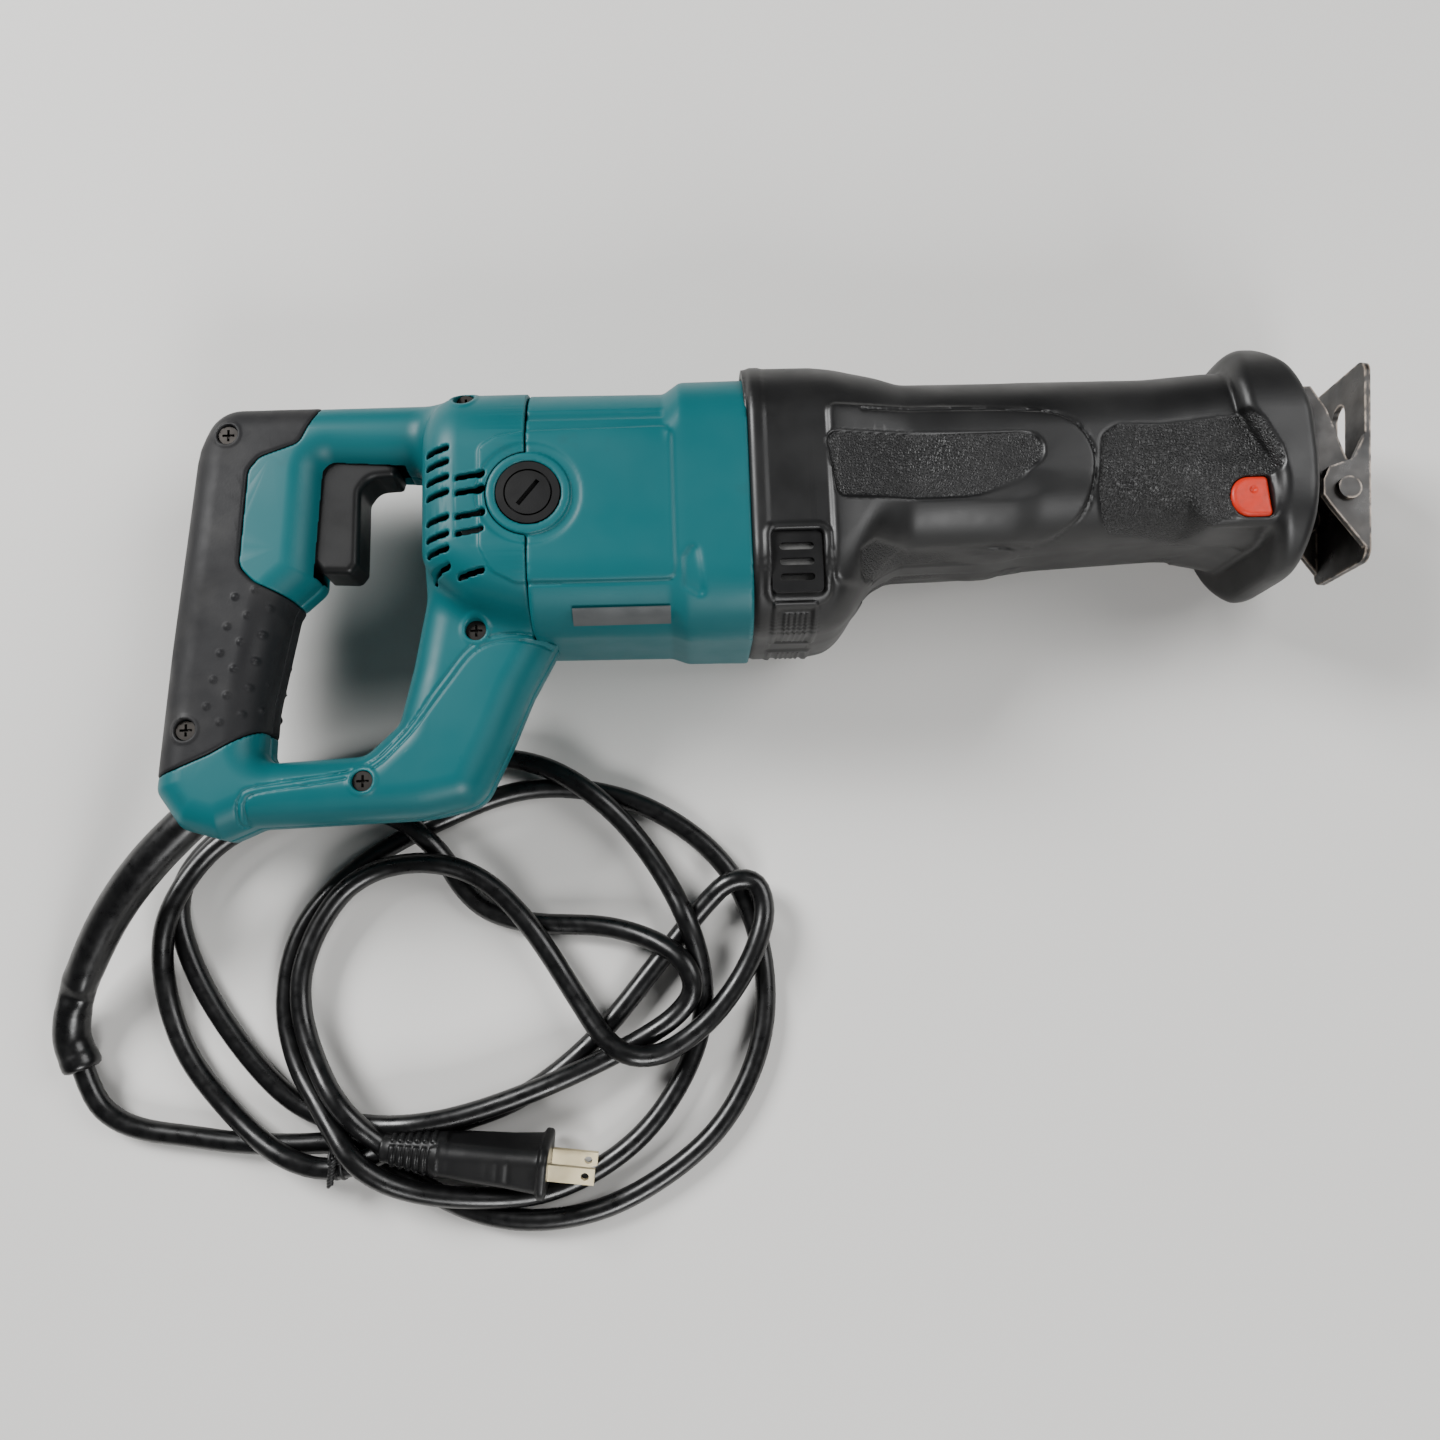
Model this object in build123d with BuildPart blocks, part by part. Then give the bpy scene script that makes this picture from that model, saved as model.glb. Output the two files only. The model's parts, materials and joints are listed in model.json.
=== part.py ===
"""Corded reciprocating saw with a D-shaped handle, lying on its left side.

Millimetres. +X runs to the blade end, +Y to the saw's top, +Z up from the floor,
out of the saw's right side. The origin is under the middle of the saw, on the floor.
The cord is gathered in a loose tied coil beside and beneath the handle.
"""

from math import cos, pi, radians, sin, tan
import os

from build123d import *

os.makedirs("parts", exist_ok=True)

# ---- driving dimensions -------------------------------------------------------------
MID_Z = 44.0  # saw's middle plane above the floor
MOTOR_Y = 26.0  # motor axis
PLUNGER_Y = 42.0  # plunger and blade axis
REAR_SEAM_X = -88.0  # handle halves meet the motor housing
FRONT_SEAM_X = -10.0  # motor housing meets the gear housing
WALL = 3.0  # plastic and cast wall
FIT = 0.3  # gap between pieces that only face each other
RUN = 0.05  # radial running clearance of a shaft in its bush
BALL_GAP = 0.03  # between a ball and its race

HANDLE_HALF = 18.0  # half thickness of the handle loop
MOTOR_HALF = 42.0  # half width of the motor housing
BOOT_HALF = 44.0  # half width of the rubber boot, which rests on the floor
BOOT_WALL = 3.5
GRIP_WALL = 2.5

STROKE = 28.0
CRANK_X = 30.0
CRANK_THROW = STROKE / 2
GEAR_R = 29.0
GEAR_TOP_Y = 19.5  # tip plane of the crank gear's teeth
GEAR_TEETH = 46
PINION_R = 6.2
PINION_TEETH = 8
SHAFT_R = 5.0
ROLLER_R = 8.0
PLUNGER_R = 9.0
YOKE_BOTTOM_Y = 35.5
ROLLER_TOP_Y = 32.6  # clear of the plunger, which passes over the roller
CAP_X = -87.0  # carbon brushes and their caps
CAP_R = 11.0
BRUSH_BOSS_R = 14.7
BRUSH_HALF = 6.0  # half the brush holder's square tube
SHOE_TILT = 6.5  # degrees, top of the shoe forward
CORD_D = 8.0

BEARINGS = {  # bore radius, outer radius, width, ball radius
    "608": (4.0, 11.0, 7.0, 2.0),
    "6201": (6.0, 16.0, 10.0, 2.9),
}
BALLS = 8

MIDDLE = Plane.XY.offset(MID_Z)


# ---- helpers ------------------------------------------------------------------------
def across(x, y=MOTOR_Y, z=MID_Z):
    """A plane square to the saw's length: its own x is +Y, its own y is +Z."""
    return Plane(origin=(x, y, z), x_dir=(0, 1, 0), z_dir=(1, 0, 0))


def upright(y, x=CRANK_X, z=MID_Z):
    """A plane square to the crank's axis: its own x is +Z, its own y is +X."""
    return Plane(origin=(x, y, z), x_dir=(0, 0, 1), z_dir=(0, 1, 0))


def level(z, x=0.0, y=0.0):
    """A plane parallel to the floor."""
    return Plane(origin=(x, y, z), x_dir=(1, 0, 0), z_dir=(0, 0, 1))


def save(part, name):
    """Label a finished piece and write its file."""
    part.label = name
    export_step(part, f"parts/{name}.step")


def ring(plane, outer, inner, length):
    """A plain ring or, with no inner radius, a disc."""
    with BuildPart() as body:
        with BuildSketch(plane):
            Circle(outer)
            if inner:
                Circle(inner, mode=Mode.SUBTRACT)
        extrude(amount=length)
    return body.part


def lofted(stations, inset=0.0):
    """A body through rounded rectangles: (x, middle y, height, half width, corner)."""
    with BuildPart() as body:
        for pair in zip(stations, stations[1:]):
            for x, y, height, half, corner in pair:
                with BuildSketch(across(x, y)):
                    RectangleRounded(height - 2 * inset, 2 * (half - inset), corner - inset)
            loft(ruled=True)
    return body.part


def outline(points, radii, inset=0.0):
    """The face inside a closed line with rounded corners, drawn in by an inset."""
    with BuildSketch() as shape:
        with BuildLine():
            FilletPolyline(*points, radius=radii, close=True)
        make_face()
        if inset:
            offset(amount=-inset)
    return shape.sketch


def race_rings(planes_and_sizes):
    """Outer rings, inner rings and balls of a set of deep groove ball bearings."""
    with BuildPart() as outer:
        for plane, size in planes_and_sizes:
            bore, outside, width, ball = BEARINGS[size]
            pitch = (bore + outside) / 2
            with BuildSketch(plane):
                Circle(outside)
                Circle(pitch + 0.55 * ball, mode=Mode.SUBTRACT)
            extrude(amount=width)
            with Locations(plane.offset(width / 2)):
                Torus(pitch, ball + BALL_GAP, mode=Mode.SUBTRACT)
    with BuildPart() as inner:
        for plane, size in planes_and_sizes:
            bore, outside, width, ball = BEARINGS[size]
            pitch = (bore + outside) / 2
            with BuildSketch(plane):
                Circle(pitch - 0.55 * ball)
                Circle(bore, mode=Mode.SUBTRACT)
            extrude(amount=width)
            with Locations(plane.offset(width / 2)):
                Torus(pitch, ball + BALL_GAP, mode=Mode.SUBTRACT)
    with BuildPart() as balls:
        for plane, size in planes_and_sizes:
            bore, outside, width, ball = BEARINGS[size]
            with Locations(plane.offset(width / 2)):
                with PolarLocations((bore + outside) / 2, BALLS):
                    Sphere(ball)
    return outer.part, inner.part, balls.part


# ---- handle -------------------------------------------------------------------------
LOOP = (
    [
        (REAR_SEAM_X - FIT, 76.3), (-206, 75.5), (-214, 58), (-222, -20), (-226, -70),
        (-216, -84), (-201, -89), (-190, -84), (-129, -81), (-108, -75), (-97, -56),
        (REAR_SEAM_X - FIT, -34),
    ],
    [1, 14, 30, 100, 6, 6, 4, 4, 40, 12, 20, 1],
)
GAP = (
    [
        (-165, 50), (-129, 47.5), (-127.5, 6), (-133, -28), (-138, -48), (-150, -59), (-184.5, -60.5),
        (-183, -40), (-174.5, -4), (-165, 4),
    ],
    [4, 7, 60, 60, 8, 8, 5, 60, 5, 4],
)
GRIP_AREA = [
    (-165, 90), (-168, 66), (-175, 55), (-190, 48), (-193, 14), (-189, 5), (-165, -4),
    (-170, -45), (-194, -49), (-212, -61), (-240, -68), (-240, 90),
]
LAYERS = [(0.0, 10.5), (1.0, 13.5), (2.8, 16.2), (6.0, HANDLE_HALF)]  # inset, height
TAIL = [
    (REAR_SEAM_X - FIT, 28.5, 96, MOTOR_HALF, 24),
    (-112, 28.5, 92, MOTOR_HALF - 1.5, 24),
    (-121, 29, 84, 34, 22),
    (-127.5, 29, 72, 22, 18),
]
HANDLE_SCREWS = [(-199, 60), (-211, -49), (-111, 66), (-109, -16), (-149, -69)]
SCREW_HEAD_R = 3.6
SCREW_SHANK_R = 2.0
SCREW_BOSS_R = 4.6
SCREW_SINK = 1.2  # screw heads sit below the surface
SCREW_HEAD_T = 2.6
SHOULDER_SCREW = HANDLE_SCREWS[2]
SHOULDER_TOP = 26.5  # the shoulder's surface above the middle plane at its screw
CARRIER_R = 30.0  # rear end of the motor housing, inside the handle halves
TRIGGER_HALF = 10.0
TRIGGER_SLOT = ((-184, -136), (7.5, 55.3))  # in x, in y
GUARD_R = 8.0
GUARD = [(-206, -71, 44), (-230, -92, 38), (-249, -112, 27), (-264, -136, 15.5), (-269.3, -154.4, 9.1)]
LEAD = [  # centre line of the cord from the sleeve to the coil
    (-265, -168, 7.5), (-261.5, -179, 6.2), (-253.5, -187, 5), (-242.5, -191.5, 4.2),
    (-226, -194, 4.1), (-207.1, -197.48, 4.1),
]


def box(x, y, z):
    """A block between two x, two y and two z values."""
    with BuildPart() as block:
        with BuildSketch(level(z[0])):
            with Locations(((x[0] + x[1]) / 2, (y[0] + y[1]) / 2)):
                Rectangle(x[1] - x[0], y[1] - y[0])
        extrude(amount=z[1] - z[0])
    return block.part


def run_radii(points):
    """The largest tangent arc at each corner of a route: 0.45 of the shorter run."""
    radii = []
    for before, here, after in zip(points, points[1:], points[2:]):
        into = Vector(*here) - Vector(*before)
        out = Vector(*after) - Vector(*here)
        half_turn = radians(into.get_angle(out)) / 2
        radii.append(0.45 * min(into.length, out.length) / tan(half_turn))
    return radii


def swept(points, section_r):
    """A round tube along straight runs joined by tangent arcs."""
    with BuildPart() as body:
        with BuildLine() as path:
            FilletPolyline(*points, radius=run_radii(points))
        with BuildSketch(Plane(origin=path.line @ 0, z_dir=path.line % 0)):
            Circle(section_r)
        sweep()
    return body.part, sum(edge.length for edge in path.edges())


def handle_outer():
    """The outside of the right handle half."""
    with BuildPart() as half:
        for inset, height in LAYERS:
            with BuildSketch(MIDDLE):
                add(outline(*LOOP, inset=inset))
                add(outline(*GAP, inset=-inset), mode=Mode.SUBTRACT)
            extrude(amount=height)
        add(lofted(TAIL))
        with BuildSketch(MIDDLE):
            Rectangle(700, 400)
        extrude(amount=-60, mode=Mode.SUBTRACT)
    return half.part


def handle_inner():
    """The hollow inside the right handle half."""
    moved_tail = [(x + WALL, y, height, half, corner) for x, y, height, half, corner in TAIL]
    with BuildPart() as hollow:
        with BuildSketch(MIDDLE):
            add(outline(*LOOP, inset=WALL))
            add(outline(*GAP, inset=-WALL), mode=Mode.SUBTRACT)
        extrude(amount=HANDLE_HALF - WALL - 1.0)
        add(lofted(moved_tail, inset=WALL))
        with BuildSketch(MIDDLE):
            Rectangle(700, 400)
        extrude(amount=-60, mode=Mode.SUBTRACT)
    return hollow.part


def screw_top(spot):
    """Height above the middle plane of the handle's surface at a screw."""
    return SHOULDER_TOP if spot == SHOULDER_SCREW else HANDLE_HALF


def pillars(radius, bottoms, tops):
    """Round pillars along the handle screws, between two heights of each."""
    with BuildPart() as posts:
        for spot, bottom, top in zip(HANDLE_SCREWS, bottoms, tops):
            with BuildSketch(level(MID_Z + bottom, *spot)):
                Circle(radius)
            extrude(amount=top - bottom)
    return posts.part


screw_seats = [screw_top(spot) - SCREW_SINK for spot in HANDLE_SCREWS]
outer_shape = handle_outer()
inner_shape = handle_inner()
guard_seat = swept(GUARD[:3], GUARD_R - 0.9)[0]
cap_room = ring(level(MID_Z, CAP_X, MOTOR_Y), BRUSH_BOSS_R + FIT, 0, 60)
trigger_room = box(*TRIGGER_SLOT, (MID_Z - TRIGGER_HALF - FIT, MID_Z + TRIGGER_HALF + FIT))
screw_heads = [seat - SCREW_HEAD_T for seat in screw_seats]
middle = [0] * len(HANDLE_SCREWS)
beyond = [60] * len(HANDLE_SCREWS)
screw_bosses = pillars(SCREW_BOSS_R, middle, screw_seats)
screw_bores = pillars(SCREW_SHANK_R, middle, beyond)
screw_rooms = pillars(SCREW_BOSS_R + 0.1, middle, beyond)

with BuildPart() as grip_core:
    with BuildSketch(MIDDLE):
        add(outline(*LOOP, inset=GRIP_WALL))
        add(outline(*GAP, inset=-GRIP_WALL), mode=Mode.SUBTRACT)
    extrude(amount=HANDLE_HALF - GRIP_WALL)

with BuildPart() as grip_area:
    with BuildSketch(MIDDLE):
        with BuildLine():
            Polyline(*GRIP_AREA, close=True)
        make_face()
    extrude(amount=2 * HANDLE_HALF)

with BuildPart() as grip_cover:
    add(outer_shape)
    add(grip_area.part, mode=Mode.INTERSECT)
    add(grip_core.part, mode=Mode.SUBTRACT)
    add(screw_rooms, mode=Mode.SUBTRACT)
    add(trigger_room, mode=Mode.SUBTRACT)

with BuildPart() as handle_shell:
    add(outer_shape)
    add(inner_shape, mode=Mode.SUBTRACT)
    add(screw_bosses)
    add(screw_bores, mode=Mode.SUBTRACT)
    add(cap_room, mode=Mode.SUBTRACT)
    add(trigger_room, mode=Mode.SUBTRACT)
    add(grip_cover.part, mode=Mode.SUBTRACT)

with BuildPart() as right_handle_half:
    add(handle_shell.part)
    add(pillars(SCREW_HEAD_R, screw_heads, beyond), mode=Mode.SUBTRACT)
    add(guard_seat, mode=Mode.SUBTRACT)
save(right_handle_half.part, "right_handle_half")

with BuildPart() as left_handle_half:
    add(mirror(handle_shell.part, about=MIDDLE, mode=Mode.PRIVATE))
    add(guard_seat, mode=Mode.SUBTRACT)
save(left_handle_half.part, "left_handle_half")

with BuildPart() as right_grip_cover:
    add(grip_cover.part)
    add(guard_seat, mode=Mode.SUBTRACT)
save(right_grip_cover.part, "right_grip_cover")

with BuildPart() as left_grip_cover:
    add(mirror(grip_cover.part, about=MIDDLE, mode=Mode.PRIVATE))
    add(guard_seat, mode=Mode.SUBTRACT)
save(left_grip_cover.part, "left_grip_cover")

# ---- motor --------------------------------------------------------------------------
HOUSING = [
    (REAR_SEAM_X, 28.5, 96, MOTOR_HALF, 24),
    (-38, 28.5, 99, MOTOR_HALF, 24),
    (-33, 27.8, 102, MOTOR_HALF, 24),
    (FRONT_SEAM_X, 27.5, 102.5, MOTOR_HALF, 24),
]
CARRIER_X = -116.0  # closed end of the bearing carrier, inside the handle
REAR_BEARING_X = -115.0
FRONT_BEARING_X = -12.0
COMMUTATOR_X = -97.0
CORE_X = -68.0
CORE_LENGTH = 36.0
CORE_SLOTS = 12
STATOR_X = -70.0
STATOR_LENGTH = 40.0
FAN_X = -24.0
FAN_HEIGHT = 8.3
PINION_X = -1.0
BEARING_608_R = BEARINGS["608"][1]
BEARING_6201_R = BEARINGS["6201"][1]
CAP_T = 6.5
CAP_PROUD = 1.0  # brush caps stand above the housing's side
HOLDER_START = 16.5  # brush holders' inner ends from the middle plane
CORE_R = 22.0
STATOR_R = 36.0
AIR_GAP = 0.6
COMMUTATOR_R = 14.0
FAN_R = 31.0
BEARING_SEATS = [(across(REAR_BEARING_X), "608"), (across(FRONT_BEARING_X), "6201")]
COIL_LEGS = [48, 132, 228, 312]  # degrees round the armature
LEG_R = 28.0
COIL_T = 7.0
COIL_WIDTH = 12.0
LABEL_CORNER = (3.0, MID_Z + MOTOR_HALF - 24)  # y, z of the lower right corner's centre
LABEL_R = 24.2
LABEL_T = 0.6
LONG_SCREWS = [(67, 12.6), (67, 75.4), (-10, 12.6), (-10, 75.4)]  # y, z


def facing_sectors(plane, outer, inner, half_angle, length):
    """Two ring sectors that face each other along the plane's own x axis."""
    reach = 2 * outer
    across_x = reach * cos(radians(half_angle))
    across_y = reach * sin(radians(half_angle))
    with BuildPart() as body:
        with BuildSketch(plane):
            for side in (1, -1):
                with BuildLine():
                    Polyline((0, 0), (side * across_x, across_y), (side * across_x, -across_y), close=True)
                make_face()
            Circle(outer, mode=Mode.INTERSECT)
            Circle(inner, mode=Mode.SUBTRACT)
        extrude(amount=length)
    return body.part


HOLLOW = [(REAR_SEAM_X - 1, *HOUSING[0][1:]), *HOUSING[1:3], (FRONT_SEAM_X + 1, *HOUSING[3][1:])]

with BuildPart() as motor_housing:
    add(lofted(HOUSING))
    add(lofted(HOLLOW, inset=WALL), mode=Mode.SUBTRACT)
    add(ring(across(CARRIER_X + WALL), CARRIER_R, CARRIER_R - WALL, REAR_SEAM_X - CARRIER_X + 1))
    add(ring(across(CARRIER_X), CARRIER_R, 0, WALL))
    add(ring(across(CARRIER_X), BEARING_608_R + WALL, 0, 8))
    with BuildSketch(across(REAR_SEAM_X)):
        with Locations((2.5, 0)):
            RectangleRounded(90, 2 * MOTOR_HALF - 2 * WALL + 1, 22)
        Circle(CARRIER_R - 0.5, mode=Mode.SUBTRACT)
    extrude(amount=WALL)
    for side in (1, -1):
        with BuildSketch(level(MID_Z + side * (MOTOR_HALF + CAP_PROUD), CAP_X, MOTOR_Y)):
            Circle(BRUSH_BOSS_R)
        extrude(amount=-side * 18)
    add(ring(across(REAR_BEARING_X), BEARING_608_R, 0, 9), mode=Mode.SUBTRACT)
    add(ring(across(CARRIER_X - 1), SHAFT_R + 1, 0, 6), mode=Mode.SUBTRACT)
    add(ring(across(CARRIER_X + WALL), CARRIER_R - 2 * WALL, 0, 5), mode=Mode.SUBTRACT)
    add(ring(across(CARRIER_X + 8), CARRIER_R - WALL, 0, 30), mode=Mode.SUBTRACT)
    with BuildSketch(level(-5, CAP_X, MOTOR_Y)):
        Circle(CAP_R + 0.1)
    extrude(amount=100, mode=Mode.SUBTRACT)
    for y, z in LONG_SCREWS:
        with BuildSketch(across(-40, y, z)):
            Circle(4.6)
        extrude(amount=30)
        with BuildSketch(across(-50, y, z)):
            Circle(1.9)
        extrude(amount=60, mode=Mode.SUBTRACT)
save(motor_housing.part, "motor_housing")

with BuildPart() as brush_caps:
    for side in (1, -1):
        with BuildSketch(level(MID_Z + side * (MOTOR_HALF + CAP_PROUD - CAP_T), CAP_X, MOTOR_Y)):
            Circle(CAP_R)
        extrude(amount=side * CAP_T)
        with BuildSketch(level(MID_Z + side * (MOTOR_HALF + CAP_PROUD), CAP_X, MOTOR_Y)):
            Circle(8.4)
            Circle(7.8, mode=Mode.SUBTRACT)
            Rectangle(11, 1.6, rotation=50)
        extrude(amount=-side * 1.4, mode=Mode.SUBTRACT)
save(brush_caps.part, "brush_caps")

with BuildPart() as brush_holders:
    for side in (1, -1):
        with BuildSketch(level(MID_Z + side * HOLDER_START, CAP_X, MOTOR_Y)):
            Rectangle(2 * BRUSH_HALF, 2 * BRUSH_HALF)
            Rectangle(2 * BRUSH_HALF - 2, 2 * BRUSH_HALF - 2, mode=Mode.SUBTRACT)
        extrude(amount=side * (MOTOR_HALF + CAP_PROUD - CAP_T - 0.1 - HOLDER_START))
save(brush_holders.part, "brush_holders")

with BuildPart() as carbon_brushes:
    for side in (1, -1):
        with BuildSketch(level(MID_Z + side * (COMMUTATOR_R + 0.1), CAP_X, MOTOR_Y)):
            Rectangle(2 * BRUSH_HALF - 2.2, 2 * BRUSH_HALF - 2.2)
        extrude(amount=side * 13)
        add(ring(across(CAP_X - 8), COMMUTATOR_R + 0.1, 0, 16), mode=Mode.SUBTRACT)
save(carbon_brushes.part, "carbon_brushes")

with BuildPart() as brush_springs:
    for side in (1, -1):
        for turn in range(3):
            spot = level(MID_Z + side * (COMMUTATOR_R + 14.3 + 2.4 * turn), CAP_X, MOTOR_Y)
            with Locations(spot):
                Torus(3.4, 0.8)
save(brush_springs.part, "brush_springs")

with BuildPart() as label_plate:
    with BuildSketch(across(-73, *LABEL_CORNER)):
        with BuildLine():
            Polyline((0, 0), (-40, 22), (-40, 42), close=True)
        make_face()
        Circle(LABEL_R + LABEL_T, mode=Mode.INTERSECT)
        Circle(LABEL_R, mode=Mode.SUBTRACT)
    extrude(amount=34)
save(label_plate.part, "label_plate")

with BuildPart() as stator_core:
    with BuildSketch(across(STATOR_X)):
        Circle(STATOR_R)
        Circle(CORE_R + AIR_GAP, mode=Mode.SUBTRACT)
        for angle in COIL_LEGS:
            with PolarLocations(LEG_R, 1, start_angle=angle):
                Rectangle(COIL_T + 0.6, COIL_WIDTH + 0.6, mode=Mode.SUBTRACT)
    extrude(amount=STATOR_LENGTH)
save(stator_core.part, "stator_core")

with BuildPart() as field_coils:
    with BuildSketch(across(STATOR_X - 0.2)):
        for angle in COIL_LEGS:
            with PolarLocations(LEG_R, 1, start_angle=angle):
                Rectangle(COIL_T, COIL_WIDTH)
    extrude(amount=STATOR_LENGTH + 0.4)
    for x, length in ((-77, 6.9), (-29.9, 4.4)):
        add(facing_sectors(across(x), LEG_R + COIL_T / 2, LEG_R - COIL_T / 2, 58, length))
save(field_coils.part, "field_coils")

outer_rings, inner_rings, balls = race_rings(BEARING_SEATS)
save(outer_rings, "motor_bearing_outer_rings")
save(inner_rings, "motor_bearing_inner_rings")
save(balls, "motor_bearing_balls")

with BuildPart() as armature_shaft:
    add(ring(across(REAR_BEARING_X), 4.0, 0, 8))
    add(ring(across(REAR_BEARING_X + 8), SHAFT_R, 0, FRONT_BEARING_X - REAR_BEARING_X - 8))
    add(ring(across(FRONT_BEARING_X), 6.0, 0, PINION_X - FRONT_BEARING_X))
    with BuildSketch(across(PINION_X)):
        Circle(PINION_R)
        with PolarLocations(PINION_R, PINION_TEETH):
            Circle(1.1, mode=Mode.SUBTRACT)
    extrude(amount=8)
save(armature_shaft.part, "armature_shaft")

with BuildPart() as armature_core:
    with BuildSketch(across(CORE_X)):
        Circle(CORE_R)
        Circle(SHAFT_R, mode=Mode.SUBTRACT)
        with PolarLocations(CORE_R - 3, CORE_SLOTS):
            Circle(2.6, mode=Mode.SUBTRACT)
            Rectangle(8, 1.8, mode=Mode.SUBTRACT)
    extrude(amount=CORE_LENGTH)
save(armature_core.part, "armature_core")

with BuildPart() as armature_windings:
    for x, length in ((-74.5, 6.4), (-31.9, 5)):
        add(ring(across(x), CORE_R - 1.5, SHAFT_R, length))
    with BuildSketch(across(CORE_X - 0.1)):
        with PolarLocations(CORE_R - 3, CORE_SLOTS):
            Circle(2.4)
    extrude(amount=CORE_LENGTH + 0.2)
save(armature_windings.part, "armature_windings")

with BuildPart() as commutator:
    with BuildSketch(across(COMMUTATOR_X)):
        Circle(COMMUTATOR_R)
        Circle(SHAFT_R, mode=Mode.SUBTRACT)
        with PolarLocations(COMMUTATOR_R, 24):
            Rectangle(1.6, 0.5, mode=Mode.SUBTRACT)
    extrude(amount=21)
save(commutator.part, "commutator")

with BuildPart() as motor_fan:
    add(ring(across(FAN_X), FAN_R, SHAFT_R, 1.8))
    add(ring(across(FAN_X + 1.7), 12, SHAFT_R, FAN_HEIGHT))
    with BuildSketch(across(FAN_X + 1.7)):
        with PolarLocations(21, 12):
            Rectangle(17, 1.6, rotation=12)
    extrude(amount=FAN_HEIGHT)
save(motor_fan.part, "motor_fan")

# ---- gear case ----------------------------------------------------------------------
PIVOT = (212.0, 27.5)  # shoe pivot
RIVET_R = 3.0
BOOT = [
    (FRONT_SEAM_X, 28.5, 105, BOOT_HALF, 26),
    (14, 28.5, 105, BOOT_HALF, 26),
    (32, 37.5, 83, 41, 26),
    (47, 39.5, 72, 38, 26),
    (150, 42, 68, 37, 26),
    (177, 40.5, 95, BOOT_HALF, 32),
    (188, 40.5, 97, BOOT_HALF, 34),
    (197, 41, 84, 40, 30),
]
NOSE_X = 176.0
CASE = BOOT[:5] + [(NOSE_X, 42, 68, 37, 26)]
PLATE_X = -6.0  # bearing plate to gear case
CAVITY = [
    (PLATE_X - 1, 28.5, 105, BOOT_HALF, 24),
    (12, 28.5, 105, BOOT_HALF, 24),
    (30, 37.5, 83, 41, 22),
    (47, 39.5, 72, 38, 22),
    (68, 40, 72, 38, 22),
]
BUSH_R = 12.0
BUSHES = [(72, 16), (138, 16)]  # x and length
SEAL = (154.5, 4)
CLAMP_BORE_R = 15.5
CLAMP_BORE_X = 158.5
BUTTON = (166.0, 18.5)
BUTTON_R = 7.5
BUTTON_PIN_R = 4.5
BUTTON_TOP = 86.0
WEB_Y = 66.5  # underside of the shoe plate's web
PLATE_T = 2.5
PLATE_IN = 14.5  # half the gap between the shoe plate's sides
RAIL_X = 112.0  # rear end of the shoe plate
RACK_Y = 25.0
CRANK_SEAT_Y = 5.5


def slice_of(stations, inset, low, high):
    """The part of a lofted body between two stations along X."""
    with BuildPart() as piece:
        add(lofted(stations, inset=inset))
        add(box((low, high), (-200, 200), (-100, 200)), mode=Mode.INTERSECT)
    return piece.part


with BuildPart() as bearing_plate:
    add(slice_of(CASE[:2], BOOT_WALL + 0.1, FRONT_SEAM_X, PLATE_X - 0.05))
    add(ring(across(FRONT_BEARING_X - 0.5), BEARING_6201_R + WALL, 0, 11.5))
    add(ring(across(FRONT_BEARING_X - 0.6), BEARING_6201_R, 0, 10.6), mode=Mode.SUBTRACT)
    add(ring(across(FRONT_BEARING_X - 0.6), 8.0, 0, 20), mode=Mode.SUBTRACT)
    for y, z in LONG_SCREWS:
        add(ring(across(-20, y, z), 2.6, 0, 40), mode=Mode.SUBTRACT)
save(bearing_plate.part, "bearing_plate")

with BuildPart() as shoe_plate:
    with BuildSketch(across(RAIL_X, WEB_Y, MID_Z)):
        with Locations((PLATE_T / 2, 0)):
            Rectangle(PLATE_T, 2 * (PLATE_IN + PLATE_T))
    extrude(amount=92)
    for side in (1, -1):
        inner = MID_Z + side * PLATE_IN
        with BuildSketch(level(inner)):
            with BuildLine():
                Polyline(
                    (RAIL_X, RACK_Y), (186, RACK_Y), (186, 54), (199, 54), (206, 25), (217, 25),
                    (217, 31), (209, 60), (204, WEB_Y + PLATE_T), (RAIL_X, WEB_Y + PLATE_T),
                    close=True,
                )
            make_face()
            with Locations(PIVOT):
                Circle(6.4)
            for tooth in range(12):
                with Locations((RAIL_X + 6 + 5 * tooth, RACK_Y)):
                    Circle(1.2, mode=Mode.SUBTRACT)
        extrude(amount=side * PLATE_T)
    with BuildSketch(level(0)):
        with Locations(PIVOT):
            Circle(RIVET_R)
    extrude(amount=100, mode=Mode.SUBTRACT)
save(shoe_plate.part, "shoe_plate")

with BuildPart() as plate_slot:
    with BuildSketch(across(104, 0, MID_Z)):
        with Locations((WEB_Y + PLATE_T / 2, 0)):
            Rectangle(PLATE_T + 2 * FIT, 2 * (PLATE_IN + PLATE_T + FIT))
        for side in (1, -1):
            with Locations(((RACK_Y + WEB_Y + PLATE_T) / 2, side * (PLATE_IN + PLATE_T / 2))):
                Rectangle(WEB_Y + PLATE_T - RACK_Y + 2 * FIT, PLATE_T + 2 * FIT)
    extrude(amount=90)

case_solid = slice_of(CASE, BOOT_WALL + 0.1, PLATE_X, NOSE_X)
with BuildPart() as crank_seat:
    add(ring(upright(CRANK_SEAT_Y - 4.0), BEARING_608_R + WALL, 0, 10.5))
    add(case_solid, mode=Mode.INTERSECT)

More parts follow.
